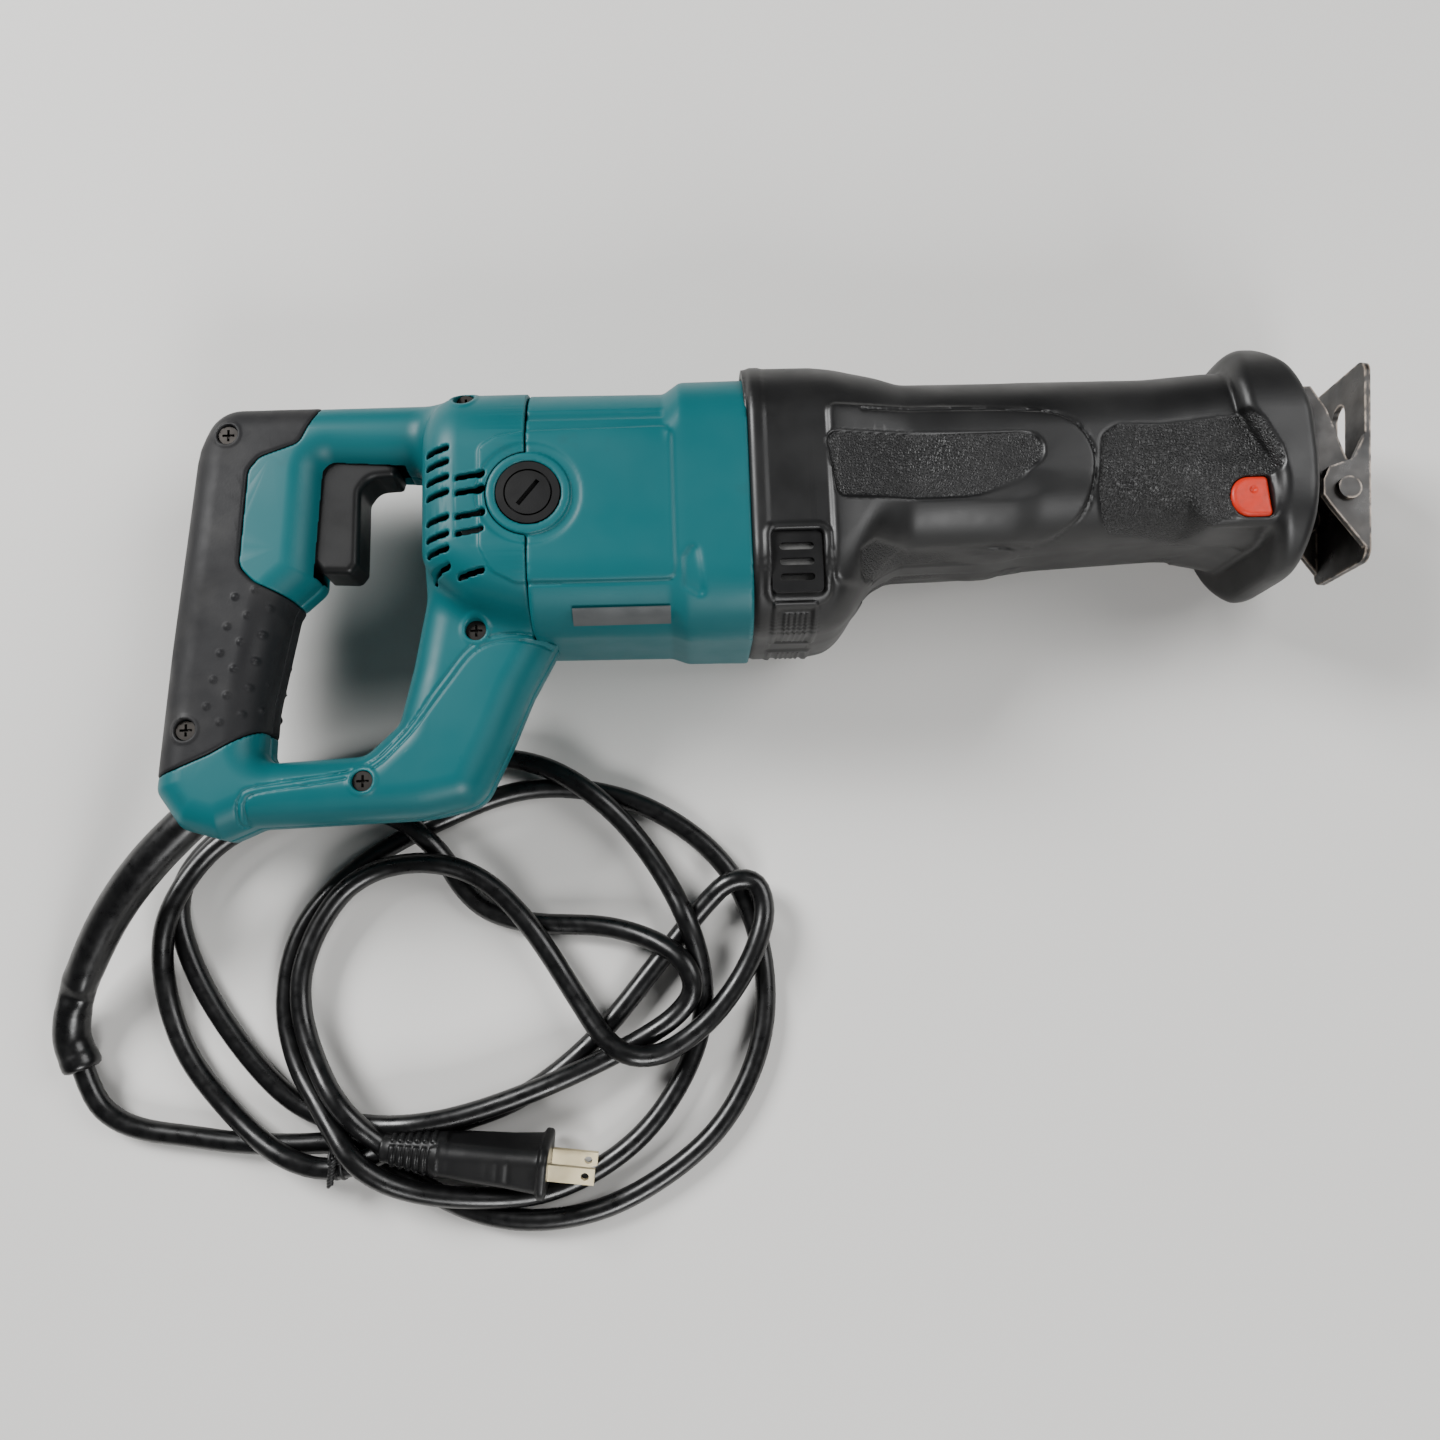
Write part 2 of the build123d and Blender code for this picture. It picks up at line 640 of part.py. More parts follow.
with BuildPart() as gear_housing:
    add(case_solid)
    add(lofted(CAVITY, inset=BOOT_WALL + WALL), mode=Mode.SUBTRACT)
    add(crank_seat.part)
    add(ring(upright(CRANK_SEAT_Y), BEARING_608_R, 0, 30), mode=Mode.SUBTRACT)
    add(ring(upright(CRANK_SEAT_Y - 8), 9.0, 0, 30), mode=Mode.SUBTRACT)
    add(ring(across(60, PLUNGER_Y), BUSH_R, 0, 130), mode=Mode.SUBTRACT)
    add(ring(across(CLAMP_BORE_X, PLUNGER_Y), CLAMP_BORE_R, 0, 30), mode=Mode.SUBTRACT)
    add(plate_slot.part, mode=Mode.SUBTRACT)
    with BuildSketch(level(0, *BUTTON)):
        Circle(BUTTON_PIN_R + RUN)
    extrude(amount=90, mode=Mode.SUBTRACT)
    for side in (1, -1):
        with BuildSketch(level(MID_Z + side * 24, *BUTTON)):
            Circle(BUTTON_R + FIT)
        extrude(amount=side * 40, mode=Mode.SUBTRACT)
    for y, z in LONG_SCREWS:
        add(ring(across(PLATE_X, y, z), 4.2, 0, 16))
        add(ring(across(-20, y, z), 2.1, 0, 38), mode=Mode.SUBTRACT)
save(gear_housing.part, "gear_housing")

with BuildPart() as crank_cover:
    add(ring(upright(CRANK_SEAT_Y - 1.5), 8.9, 0, 1.5))
save(crank_cover.part, "crank_cover")

with BuildPart() as housing_screws:
    for y, z in LONG_SCREWS:
        add(ring(across(-30, y, z), 1.85, 0, 36))
        add(ring(across(6, y, z), 2.05, 0, 9))
save(housing_screws.part, "housing_screws")

with BuildPart() as slider_bushings:
    for x, length in BUSHES:
        add(ring(across(x, PLUNGER_Y), BUSH_R, PLUNGER_R + RUN, length))
save(slider_bushings.part, "slider_bushings")
save(ring(across(SEAL[0], PLUNGER_Y), BUSH_R, PLUNGER_R + RUN, SEAL[1]), "front_seal")

# ---- crank --------------------------------------------------------------------------
outer_ring, inner_ring, crank_balls = race_rings([(upright(CRANK_SEAT_Y), "608")])
save(outer_ring, "crank_bearing_outer_ring")
save(inner_ring, "crank_bearing_inner_ring")
save(crank_balls, "crank_bearing_balls")

with BuildPart() as crank_gear:
    add(ring(upright(GEAR_TOP_Y - 6), GEAR_R, SHAFT_R + 1, 6))
    add(ring(upright(GEAR_TOP_Y - 2), GEAR_R - 5.2, SHAFT_R + 4, 6), mode=Mode.SUBTRACT)
    with BuildSketch(upright(GEAR_TOP_Y - 2)):
        with PolarLocations(GEAR_R - 2.5, GEAR_TEETH):
            Rectangle(6, 1.8)
    extrude(amount=4, mode=Mode.SUBTRACT)
    add(ring(upright(GEAR_TOP_Y - 7, z=MID_Z + CRANK_THROW), 3.5, 0, 12), mode=Mode.SUBTRACT)
save(crank_gear.part, "crank_gear")

with BuildPart() as crank_shaft:
    add(ring(upright(CRANK_SEAT_Y), 4.0, 0, 7))
    add(ring(upright(CRANK_SEAT_Y + 7), SHAFT_R + 1, 0, GEAR_TOP_Y - CRANK_SEAT_Y - 7))
save(crank_shaft.part, "crank_shaft")

with BuildPart() as crank_pin:
    add(ring(upright(GEAR_TOP_Y - 6, z=MID_Z + CRANK_THROW), 3.5, 0, ROLLER_TOP_Y - GEAR_TOP_Y + 6))
save(crank_pin.part, "crank_pin")
save(ring(upright(GEAR_TOP_Y + 2, z=MID_Z + CRANK_THROW), ROLLER_R, 3.5, ROLLER_TOP_Y - GEAR_TOP_Y - 2),
     "crank_roller")

# ---- plunger and blade clamp --------------------------------------------------------
CLAMP_X = 172.0
CLAMP_SLEEVE_R = 13.6
CLAMP_BODY_R = 9.0
with BuildPart() as plunger:
    with BuildSketch(level(MID_Z - 24)):
        with Locations((CRANK_X, PLUNGER_Y)):
            Rectangle(22, 2 * (PLUNGER_Y - YOKE_BOTTOM_Y))
    extrude(amount=48)
    with BuildSketch(upright(YOKE_BOTTOM_Y - 1)):
        SlotOverall(2 * (CRANK_THROW + ROLLER_R) + 0.2, 2 * ROLLER_R + 0.1)
    extrude(amount=20, mode=Mode.SUBTRACT)
    with BuildSketch(across(CRANK_X + 10.5, PLUNGER_Y)):
        Circle(PLUNGER_R)
    extrude(amount=CLAMP_X - CRANK_X - 10.5)
save(plunger.part, "plunger")

with BuildPart() as clamp_body:
    with BuildSketch(across(CLAMP_X, PLUNGER_Y)):
        Circle(CLAMP_BODY_R)
    extrude(amount=24)
    with BuildSketch(across(CLAMP_X + 4, PLUNGER_Y)):
        Rectangle(13.2, 1.8)
    extrude(amount=30, mode=Mode.SUBTRACT)
    with BuildSketch(level(MID_Z, CLAMP_X + 14, PLUNGER_Y)):
        Circle(2.0)
    extrude(amount=20, mode=Mode.SUBTRACT)
save(clamp_body.part, "clamp_body")

with BuildPart() as clamp_pin:
    with BuildSketch(level(MID_Z + 1.1, CLAMP_X + 14, PLUNGER_Y)):
        Circle(1.95)
    extrude(amount=7.6)
save(clamp_pin.part, "clamp_pin")

with BuildPart() as clamp_sleeve:
    with BuildSketch(across(CLAMP_X + 1, PLUNGER_Y)):
        Circle(CLAMP_SLEEVE_R)
        with PolarLocations(CLAMP_SLEEVE_R + 0.8, 12):
            Circle(1.8, mode=Mode.SUBTRACT)
        Circle(CLAMP_BODY_R + RUN, mode=Mode.SUBTRACT)
    extrude(amount=19)
    with BuildSketch(across(CLAMP_X, PLUNGER_Y)):
        Circle(11.5)
        Circle(CLAMP_BODY_R + RUN, mode=Mode.SUBTRACT)
    extrude(amount=8, mode=Mode.SUBTRACT)
save(clamp_sleeve.part, "clamp_sleeve")

with BuildPart() as clamp_spring:
    for turn in range(3):
        with Locations(across(CLAMP_X + 2.2 + 2.1 * turn, PLUNGER_Y)):
            Torus(10.3, 0.8)
save(clamp_spring.part, "clamp_spring")
save(ring(across(CLAMP_X + 20.4, PLUNGER_Y), 11.0, CLAMP_BODY_R, 1.4), "clamp_ring")

# ---- shoe ---------------------------------------------------------------------------
SHOE_HALF = 20.0
EAR_IN = PLATE_IN + PLATE_T + 0.4
SHOE_FACE = 8.6  # pivot to the shoe's front face
SHOE_T = 2.2
SHOE_LOW = -26.5
SHOE_HIGH = 52.0


def tilted(z):
    """A level plane in the shoe's own frame, with its origin on the pivot."""
    return Plane(origin=(*PIVOT, z), z_dir=(0, 0, 1),
                 x_dir=(cos(radians(SHOE_TILT)), -sin(radians(SHOE_TILT)), 0))


with BuildPart() as shoe:
    with BuildSketch(tilted(MID_Z - SHOE_HALF)):
        with Locations((SHOE_FACE - SHOE_T / 2, (SHOE_LOW + SHOE_HIGH) / 2)):
            Rectangle(SHOE_T, SHOE_HIGH - SHOE_LOW)
    extrude(amount=2 * SHOE_HALF)
    for side in (1, -1):
        with BuildSketch(tilted(MID_Z + side * EAR_IN)):
            with BuildLine():
                Polyline(
                    (SHOE_FACE - 0.5, SHOE_LOW + 3), (SHOE_FACE - 0.5, 26), (2, 12), (-7, 8),
                    (-9, 3), (-9, -3), (-6, -7), close=True,
                )
            make_face()
            Circle(RIVET_R + RUN, mode=Mode.SUBTRACT)
        extrude(amount=side * (SHOE_HALF - EAR_IN))
    cutter = tilted(MID_Z)
    with BuildSketch(Plane(origin=cutter.origin, x_dir=cutter.y_dir, z_dir=cutter.x_dir)):
        with Locations((25, 0)):
            SlotOverall(32, 10)
    extrude(amount=40, mode=Mode.SUBTRACT)
    corners = [edge for edge in shoe.edges().filter_by(GeomType.LINE)
               if abs(edge.length - SHOE_T) < 0.01]
    fillet(corners, 5)
save(shoe.part, "shoe")

with BuildPart() as shoe_rivets:
    for side in (1, -1):
        with BuildSketch(level(MID_Z + side * (PLATE_IN + 0.2), *PIVOT)):
            Circle(RIVET_R)
        extrude(amount=side * (SHOE_HALF - PLATE_IN + 0.1))
        with BuildSketch(level(MID_Z + side * (SHOE_HALF + 0.3), *PIVOT)):
            Circle(4.3)
        extrude(amount=side * 1.6)
save(shoe_rivets.part, "shoe_rivets")

with BuildPart() as shoe_button:
    with BuildSketch(level(BUTTON_TOP - 10, *BUTTON)):
        Circle(BUTTON_R)
    extrude(amount=10)
    with BuildSketch(level(MID_Z - 34.5, *BUTTON)):
        Circle(BUTTON_R)
    extrude(amount=5)
    with BuildSketch(level(MID_Z - 34, *BUTTON)):
        Circle(BUTTON_PIN_R)
    extrude(amount=70)
    with BuildSketch(level(BUTTON_TOP, BUTTON[0] + 1, BUTTON[1] + 2.5)):
        Circle(0.9)
    extrude(amount=-1.5, mode=Mode.SUBTRACT)
save(shoe_button.part, "shoe_button")

# ---- boot ---------------------------------------------------------------------------
VENT_SPOT = (5.0, -1.0)
VENT_SIZE = (18.0, 22.0)
with BuildPart() as rubber_boot:
    add(lofted(BOOT))
    add(lofted(CASE, inset=BOOT_WALL), mode=Mode.SUBTRACT)
    with BuildSketch(across(NOSE_X - 1, 42)):
        RectangleRounded(58, 52, 16)
    extrude(amount=40, mode=Mode.SUBTRACT)
    with BuildSketch(level(-5, *BUTTON)):
        Circle(BUTTON_R + FIT)
    extrude(amount=100, mode=Mode.SUBTRACT)
    for side in (1, -1):
        with BuildSketch(level(MID_Z + side * 38, *VENT_SPOT)):
            RectangleRounded(*VENT_SIZE, 2)
        extrude(amount=side * 10, mode=Mode.SUBTRACT)
save(rubber_boot.part, "rubber_boot")

with BuildPart() as vent_grilles:
    for side in (1, -1):
        with BuildSketch(level(MID_Z + side * (BOOT_HALF - BOOT_WALL), *VENT_SPOT)):
            RectangleRounded(VENT_SIZE[0] - 0.4, VENT_SIZE[1] - 0.4, 1.8)
            with GridLocations(0, 5.5, 1, 3):
                SlotOverall(12, 2.6, mode=Mode.SUBTRACT)
        extrude(amount=side * 1.6)
save(vent_grilles.part, "vent_grilles")

# ---- trigger and switch -------------------------------------------------------------
TRIGGER = [
    (-177, 16), (-169, 12.5), (-166, 9), (-155.5, 8.5), (-153, 12), (-152.5, 40), (-149, 45), (-140, 45.5),
    (-139, 49.5), (-144, 53), (-169, 53.8), (-177, 46),
]
with BuildPart() as trigger:
    with BuildSketch(level(MID_Z - TRIGGER_HALF)):
        with BuildLine():
            Polyline(*TRIGGER, close=True)
        make_face()
    extrude(amount=2 * TRIGGER_HALF)
    fillet(trigger.edges().filter_by(Axis.Z).sort_by(Axis.X)[4:8], 1.2)
save(trigger.part, "trigger")

with BuildPart() as switch_body:
    add(box((-208, -184.5), (14, 48), (MID_Z - 11, MID_Z + 11)))
save(switch_body.part, "switch_body")

with BuildPart() as trigger_spring:
    for turn in range(3):
        with Locations(Plane(origin=(-183.4 + 2.3 * turn, 30, MID_Z), z_dir=(1, 0, 0))):
            Torus(4.0, 0.7)
save(trigger_spring.part, "trigger_spring")

with BuildPart() as handle_screws:
    for spot, head in zip(HANDLE_SCREWS, screw_heads):
        with BuildSketch(level(MID_Z + head, *spot)):
            Circle(SCREW_HEAD_R - 0.1)
        extrude(amount=2.2)
        with BuildSketch(level(MID_Z + head + 2.2, *spot)):
            Rectangle(4.4, 0.9)
            Rectangle(0.9, 4.4)
        extrude(amount=-1.2, mode=Mode.SUBTRACT)
        with BuildSketch(level(MID_Z + head, *spot)):
            Circle(SCREW_SHANK_R - RUN)
        extrude(amount=-22)
save(handle_screws.part, "handle_screws")

# ---- cord ---------------------------------------------------------------------------
TIE_X = -168.0
COIL = (
    [
        (-168, -211.5), (-112, -231), (-62, -228), (-20, -203), (-3, -150), (-5, -110), (-24, -92),
        (-60, -68), (-100, -50), (-160, -54), (-215, -80), (-238, -96), (-242, -138), (-234, -166),
        (-222, -181), (-205.7, -190.6), (-208.3, -204.4), (-188, -207),
    ],
    [20, 30, 30, 40, 30, 12, 20, 40, 30, 40, 20, 12, 40, 12, 6, 1, 1, 4],
)
HOLE = (
    [
        (-168, -186.5), (-125, -181), (-88, -164), (-92, -128), (-112, -106), (-140, -100),
        (-166, -110), (-176, -135),
    ],
    [3, 20, 12, 12, 20, 20, 12, 20],
)
COIL_HEIGHT = 17.0
PLUG_ROLL = 18.0  # degrees, the blade's plane leans towards -Y
PLUG_DIR = Vector(60, -8, 0).normalized()
PLUG_SIDE = Vector(-PLUG_DIR.Y, PLUG_DIR.X, 0)
PLUG_START = Vector(-150, -200, 13.6)
PLUG_UP = PLUG_SIDE * -sin(radians(PLUG_ROLL)) + Vector(0, 0, cos(radians(PLUG_ROLL)))


def on_plug(distance):
    """A plane across the plug: its own x is upward between the blades."""
    return Plane(origin=PLUG_START + PLUG_DIR * distance, x_dir=PLUG_UP, z_dir=PLUG_DIR)


with BuildPart() as plug_body:
    with BuildSketch(on_plug(0)):
        Circle(5.2)
    with BuildSketch(on_plug(20)):
        Circle(8.2)
    loft()
    for rib in range(6):
        with BuildSketch(on_plug(1.5 + 3.0 * rib)):
            Circle(6.3 + 0.45 * rib)
        extrude(amount=1.6)
    with BuildSketch(on_plug(20)):
        RectangleRounded(19, 14, 5)
    with BuildSketch(on_plug(56.5)):
        RectangleRounded(23, 17, 5)
    loft()
    with BuildSketch(on_plug(56.5)):
        RectangleRounded(26, 20, 6)
    extrude(amount=4)
save(plug_body.part, "plug_body")

with BuildPart() as plug_blades:
    for side in (1, -1):
        spot = on_plug(60.5)
        with BuildSketch(Plane(origin=spot.origin + PLUG_UP * (side * 6.35), x_dir=PLUG_UP, z_dir=PLUG_DIR)):
            Rectangle(1.5, 6.35)
        extrude(amount=17)
        hole = Plane(origin=spot.origin + PLUG_UP * (side * 6.35) + PLUG_DIR * 13.5, x_dir=PLUG_DIR,
                     z_dir=PLUG_UP)
        with BuildSketch(hole):
            Circle(1.5)
        extrude(amount=2, both=True, mode=Mode.SUBTRACT)
save(plug_blades.part, "plug_blades")

with BuildPart() as cord_tie:
    with BuildSketch(across(TIE_X - 2.5, -199, 9.0)):
        RectangleRounded(25, 17.6, 5)
        RectangleRounded(22, 14.6, 4, mode=Mode.SUBTRACT)
    extrude(amount=5)
save(cord_tie.part, "cord_tie")

with BuildPart() as cord_coil:
    with BuildSketch(level(0.1)):
        add(outline(*COIL))
        add(outline(*HOLE), mode=Mode.SUBTRACT)
    extrude(amount=COIL_HEIGHT)
    with BuildSketch(on_plug(-0.5)):
        Rectangle(60, 23)
    extrude(amount=79, mode=Mode.SUBTRACT)
    with BuildSketch(across(TIE_X - 2.7, -199, 9.0)):
        Rectangle(60, 60)
        RectangleRounded(21.6, 14.2, 4, mode=Mode.SUBTRACT)
    extrude(amount=5.4, mode=Mode.SUBTRACT)
save(cord_coil.part, "cord_coil")

save(swept(GUARD + LEAD[:1], GUARD_R - 1.0)[0], "cord_guard")
power_cord, lead_length = swept(LEAD, CORD_D / 2)
save(power_cord, "power_cord")
print("radii of the lead:", [round(r, 1) for r in run_radii(LEAD)])
print("lead: length", round(lead_length, 1), "volume", round(power_cord.volume, 1),
      "section times length", round(pi * (CORD_D / 2) ** 2 * lead_length, 1))

with BuildPart() as cord_clamp:
    add(box((-197, -181), (-77, -70.5), (MID_Z - 9, MID_Z - 4.5)))
save(cord_clamp.part, "cord_clamp")
with BuildPart() as cord_clamp_screws:
    for x in (-194, -184):
        with BuildSketch(level(MID_Z - 4.5, x, -73.7)):
            Circle(2.4)
        extrude(amount=2)
save(cord_clamp_screws.part, "cord_clamp_screws")
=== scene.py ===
"""Corded reciprocating saw lying on its left side, with its cord in a loose tied coil.

The CAD frame gives places and sizes. This script adds the outside shells, worked out as
distance fields, the cord, and every material. Outlines, way points and fields are in mm,
and everything in Blender is in metres.
"""

import json
from math import cos, pi, radians, sin

import bmesh
import bpy
import numpy as np
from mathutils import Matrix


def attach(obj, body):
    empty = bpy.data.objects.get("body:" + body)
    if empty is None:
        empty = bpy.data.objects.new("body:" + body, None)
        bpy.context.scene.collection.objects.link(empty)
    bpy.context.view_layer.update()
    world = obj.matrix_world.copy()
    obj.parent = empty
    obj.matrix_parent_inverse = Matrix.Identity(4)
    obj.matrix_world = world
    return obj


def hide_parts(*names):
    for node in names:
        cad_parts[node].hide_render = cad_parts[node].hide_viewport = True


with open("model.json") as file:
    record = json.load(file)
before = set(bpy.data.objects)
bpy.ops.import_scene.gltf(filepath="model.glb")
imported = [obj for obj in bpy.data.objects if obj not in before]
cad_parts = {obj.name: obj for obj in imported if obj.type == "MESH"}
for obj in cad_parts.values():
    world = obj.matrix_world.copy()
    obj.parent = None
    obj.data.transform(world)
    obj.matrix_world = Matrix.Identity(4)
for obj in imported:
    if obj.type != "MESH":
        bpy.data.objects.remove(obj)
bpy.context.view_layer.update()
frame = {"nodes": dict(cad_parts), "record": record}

import openvdb
from mathutils import Euler, Vector

MM = 0.001
MID_Z = 44.0  # the saw's middle plane, mm above the floor
CORD_R = 4.0  # mm


# ---- camera, floor and light ----
CAMERA_SPOT = (-0.0369, -0.1276, 0.517)
CAMERA_TURN = (9.55, -1.43, -2.05)  # degrees about x, y and z, from straight down
LENS_MM = 32.5
SENSOR_MM = 36.0
FLOOR_HALF = 3.0
FLOOR_Z = -0.0004  # just below what lies on it
LIGHTS = [  # name, place, aim, size, power
    ("key", (-1.2, 0.8, 1.2), (0, 0, 0), 0.7, 55),
    ("fill", (1.1, 0.3, 1.2), (0.05, 0, 0), 0.9, 18),
    ("front", (0.3, -1.4, 1.0), (0, -0.05, 0), 0.6, 23),
]
SKY_COLOUR = (0.86, 0.88, 0.9, 1)
SKY_STRENGTH = 0.10


def add_camera():
    data = bpy.data.cameras.new("camera")
    data.lens = LENS_MM
    data.sensor_width = SENSOR_MM
    camera = bpy.data.objects.new("camera", data)
    camera.location = CAMERA_SPOT
    camera.rotation_euler = Euler([radians(turn) for turn in CAMERA_TURN])
    bpy.context.collection.objects.link(camera)
    bpy.context.scene.camera = camera


def add_light(name, spot, aim, size, power):
    data = bpy.data.lights.new(name, "AREA")
    data.size = size
    data.energy = power
    light = bpy.data.objects.new(name, data)
    light.location = spot
    light.rotation_euler = (Vector(aim) - Vector(spot)).to_track_quat("-Z", "Y").to_euler()
    bpy.context.collection.objects.link(light)


def add_studio():
    """A pale painted floor, three soft lights and a dim sky."""
    mesh = bpy.data.meshes.new("floor")
    corners = [(x * FLOOR_HALF, y * FLOOR_HALF, 0) for x, y in ((-1, -1), (1, -1), (1, 1), (-1, 1))]
    mesh.from_pydata(corners, [], [(0, 1, 2, 3)])
    floor = bpy.data.objects.new("floor", mesh)
    floor.location.z = FLOOR_Z
    bpy.context.collection.objects.link(floor)
    shade = Shade("floor_paint", roughness=0.75)
    shade.colour(shade.mix(shade.noise(3.0), (0.62, 0.61, 0.59), (0.66, 0.65, 0.63)))
    mesh.materials.append(shade.material)
    for light in LIGHTS:
        add_light(*light)
    world = bpy.data.worlds.new("studio")
    world.use_nodes = True
    sky = world.node_tree.nodes["Background"]
    sky.inputs["Color"].default_value = SKY_COLOUR
    sky.inputs["Strength"].default_value = SKY_STRENGTH
    bpy.context.scene.world = world


# ---- node materials ----
class Shade:
    """A node material built from generated texture fields in object space."""

    def __init__(self, name, roughness=0.5, metallic=0.0, **sockets):
        self.material = bpy.data.materials.new(name)
        self.material.use_nodes = True
        self.tree = self.material.node_tree
        self.shader = self.tree.nodes["Principled BSDF"]
        self.shader.inputs["Roughness"].default_value = roughness
        self.shader.inputs["Metallic"].default_value = metallic
        for socket, value in sockets.items():
            self.shader.inputs[socket.replace("_", " ")].default_value = value
        self.place = self.tree.nodes.new("ShaderNodeTexCoord").outputs["Object"]

    def node(self, kind, **settings):
        made = self.tree.nodes.new("ShaderNode" + kind)
        for key, value in settings.items():
            setattr(made, key, value)
        return made

    def link(self, value, socket):
        if isinstance(value, bpy.types.NodeSocket):
            self.tree.links.new(value, socket)
        else:
            socket.default_value = value

    def stretched(self, scale):
        mapping = self.node("Mapping")
        self.link(self.place, mapping.inputs["Vector"])
        mapping.inputs["Scale"].default_value = scale
        return mapping.outputs["Vector"]

    def texture(self, kind, scale, stretch=None, **settings):
        made = self.node("Tex" + kind, **settings)
        self.link(self.stretched(stretch) if stretch else self.place, made.inputs["Vector"])
        made.inputs["Scale"].default_value = scale
        return made

    def noise(self, scale, detail=3.0, stretch=None):
        made = self.texture("Noise", scale, stretch)
        made.inputs["Detail"].default_value = detail
        return made.outputs["Fac"]

    def cell_edges(self, scale):
        """Distance to the nearest border between cells."""
        return self.texture("Voronoi", scale, feature="DISTANCE_TO_EDGE").outputs["Distance"]

    def waves(self, scale, distortion=0.0):
        """Bands that follow one another along x."""
        made = self.texture("Wave", scale, wave_type="BANDS", bands_direction="X")
        made.inputs["Distortion"].default_value = distortion
        return made.outputs["Fac"]

    def band(self, value, low, high):
        """0 at low and 1 at high, clamped; low may be above high."""
        made = self.node("MapRange")
        self.link(value, made.inputs["Value"])
        made.inputs["From Min"].default_value = low
        made.inputs["From Max"].default_value = high
        return made.outputs["Result"]

    def maths(self, operation, a, b):
        made = self.node("Math", operation=operation)
        self.link(a, made.inputs[0])
        self.link(b, made.inputs[1])
        return made.outputs["Value"]

    def mix(self, fac, a, b):
        made = self.node("Mix", data_type="RGBA")
        self.link(fac, made.inputs["Factor"])
        for value, socket in ((a, "A"), (b, "B")):
            target = [s for s in made.inputs if s.name == socket and s.type == "RGBA"][0]
            self.link((*value, 1) if isinstance(value, tuple) else value, target)
        return [s for s in made.outputs if s.type == "RGBA"][0]

    def worn(self, radius):
        """1 on convex edges and 0 elsewhere, from how a rounded edge turns the normal."""
        bevel = self.node("Bevel", samples=4)
        bevel.inputs["Radius"].default_value = radius
        plain = self.node("NewGeometry").outputs["Normal"]
        dot = self.node("VectorMath", operation="DOT_PRODUCT")
        self.link(bevel.outputs["Normal"], dot.inputs[0])
        self.link(plain, dot.inputs[1])
        return self.band(dot.outputs["Value"], 0.995, 0.9)

    def colour(self, value):
        self.link(value, self.shader.inputs["Base Color"])

    def rough(self, value):
        self.link(value, self.shader.inputs["Roughness"])

    def bump(self, height, strength=0.3, distance=0.0002):
        made = self.node("Bump")
        made.inputs["Strength"].default_value = strength
        made.inputs["Distance"].default_value = distance
        if self.shader.inputs["Normal"].links:
            self.link(self.shader.inputs["Normal"].links[0].from_socket, made.inputs["Normal"])
        self.link(height, made.inputs["Height"])
        self.link(made.outputs["Normal"], self.shader.inputs["Normal"])


# ---- the cord ----
LEAD = [  # from the end of the cord guard to the coil, in metres
    (-0.265, -0.168, 0.0075), (-0.2615, -0.179, 0.0062), (-0.2535, -0.187, 0.005),
    (-0.2425, -0.1915, 0.0042), (-0.226, -0.194, 0.0041), (-0.2071, -0.19748, 0.0041),
]
# Way points of the loose turns, x and y in mm, and how far each stretch lies on top.
TURNS = [
    (-188, -199, 0), (-168, -199, 0.1), (-146, -211.5, 0.2), (-118, -226, 0.5), (-90, -229.5, 0.6),
    (-60, -222, 1), (-27, -199, 1), (-9, -165, 1), (-9, -128, 1), (-24, -96, 1), (-57, -73, 1),
    (-97, -67, 1.2), (-136, -80, 1.4), (-166, -97, 1.6), (-186, -120, 1.7), (-191, -150, 1.8),
    (-183, -174, 1.9), (-173, -187, 2),
    (-163, -202, 2), (-146, -214, 2), (-120, -219.5, 2), (-90, -219, 2), (-58, -202, 2),
    (-37, -174, 2), (-31, -146, 2), (-39, -115, 2), (-60, -82, 2), (-88, -60, 2), (-116, -54, 2),
    (-152, -58, 2), (-190, -67, 2), (-220, -84, 2), (-233, -104, 2), (-228, -128, 2),
    (-212, -156, 1.9), (-190, -181, 1.8), (-170, -190.5, 1.8),
    (-148, -192.5, 1.8), (-124, -190, 2), (-94, -181, 3), (-62, -168, 3), (-40, -155, 3),
    (-34, -144, 3), (-42, -132, 3), (-66, -122, 3), (-100, -119, 3), (-120, -110, 3),
    (-131, -92, 3), (-150, -76, 3), (-182, -72, 3), (-214, -84, 3), (-232, -107, 3),
    (-237, -134, 3), (-228, -164, 2), (-206, -190, 1.5), (-185, -204, 1.5), (-168, -207.5, 1.5),
    (-150, -201, 1.5), (-130, -194, 1.5), (-102, -185, 1.5), (-74, -165, 1.5), (-50, -138, 1.5),
    (-30, -115, 1.5), (-19, -105, 1.5), (-10, -105, 1.7), (-6, -116, 3), (-13, -137, 4),
    (-29, -158, 4), (-50, -171, 4), (-66, -167, 4), (-80, -147, 4), (-98, -119, 4),
    (-118, -100, 4), (-142, -95, 4), (-165, -102, 4), (-181, -125, 4), (-184, -148, 4),
    (-175, -172, 4), (-164, -187, 4), (-157, -195, 4),
]
PLUG_START_MM = (-150.0, -200.0, 13.6)  # where the cord goes into the plug
PLUG_WAY = np.array(Vector((60, -8, 0)).normalized())


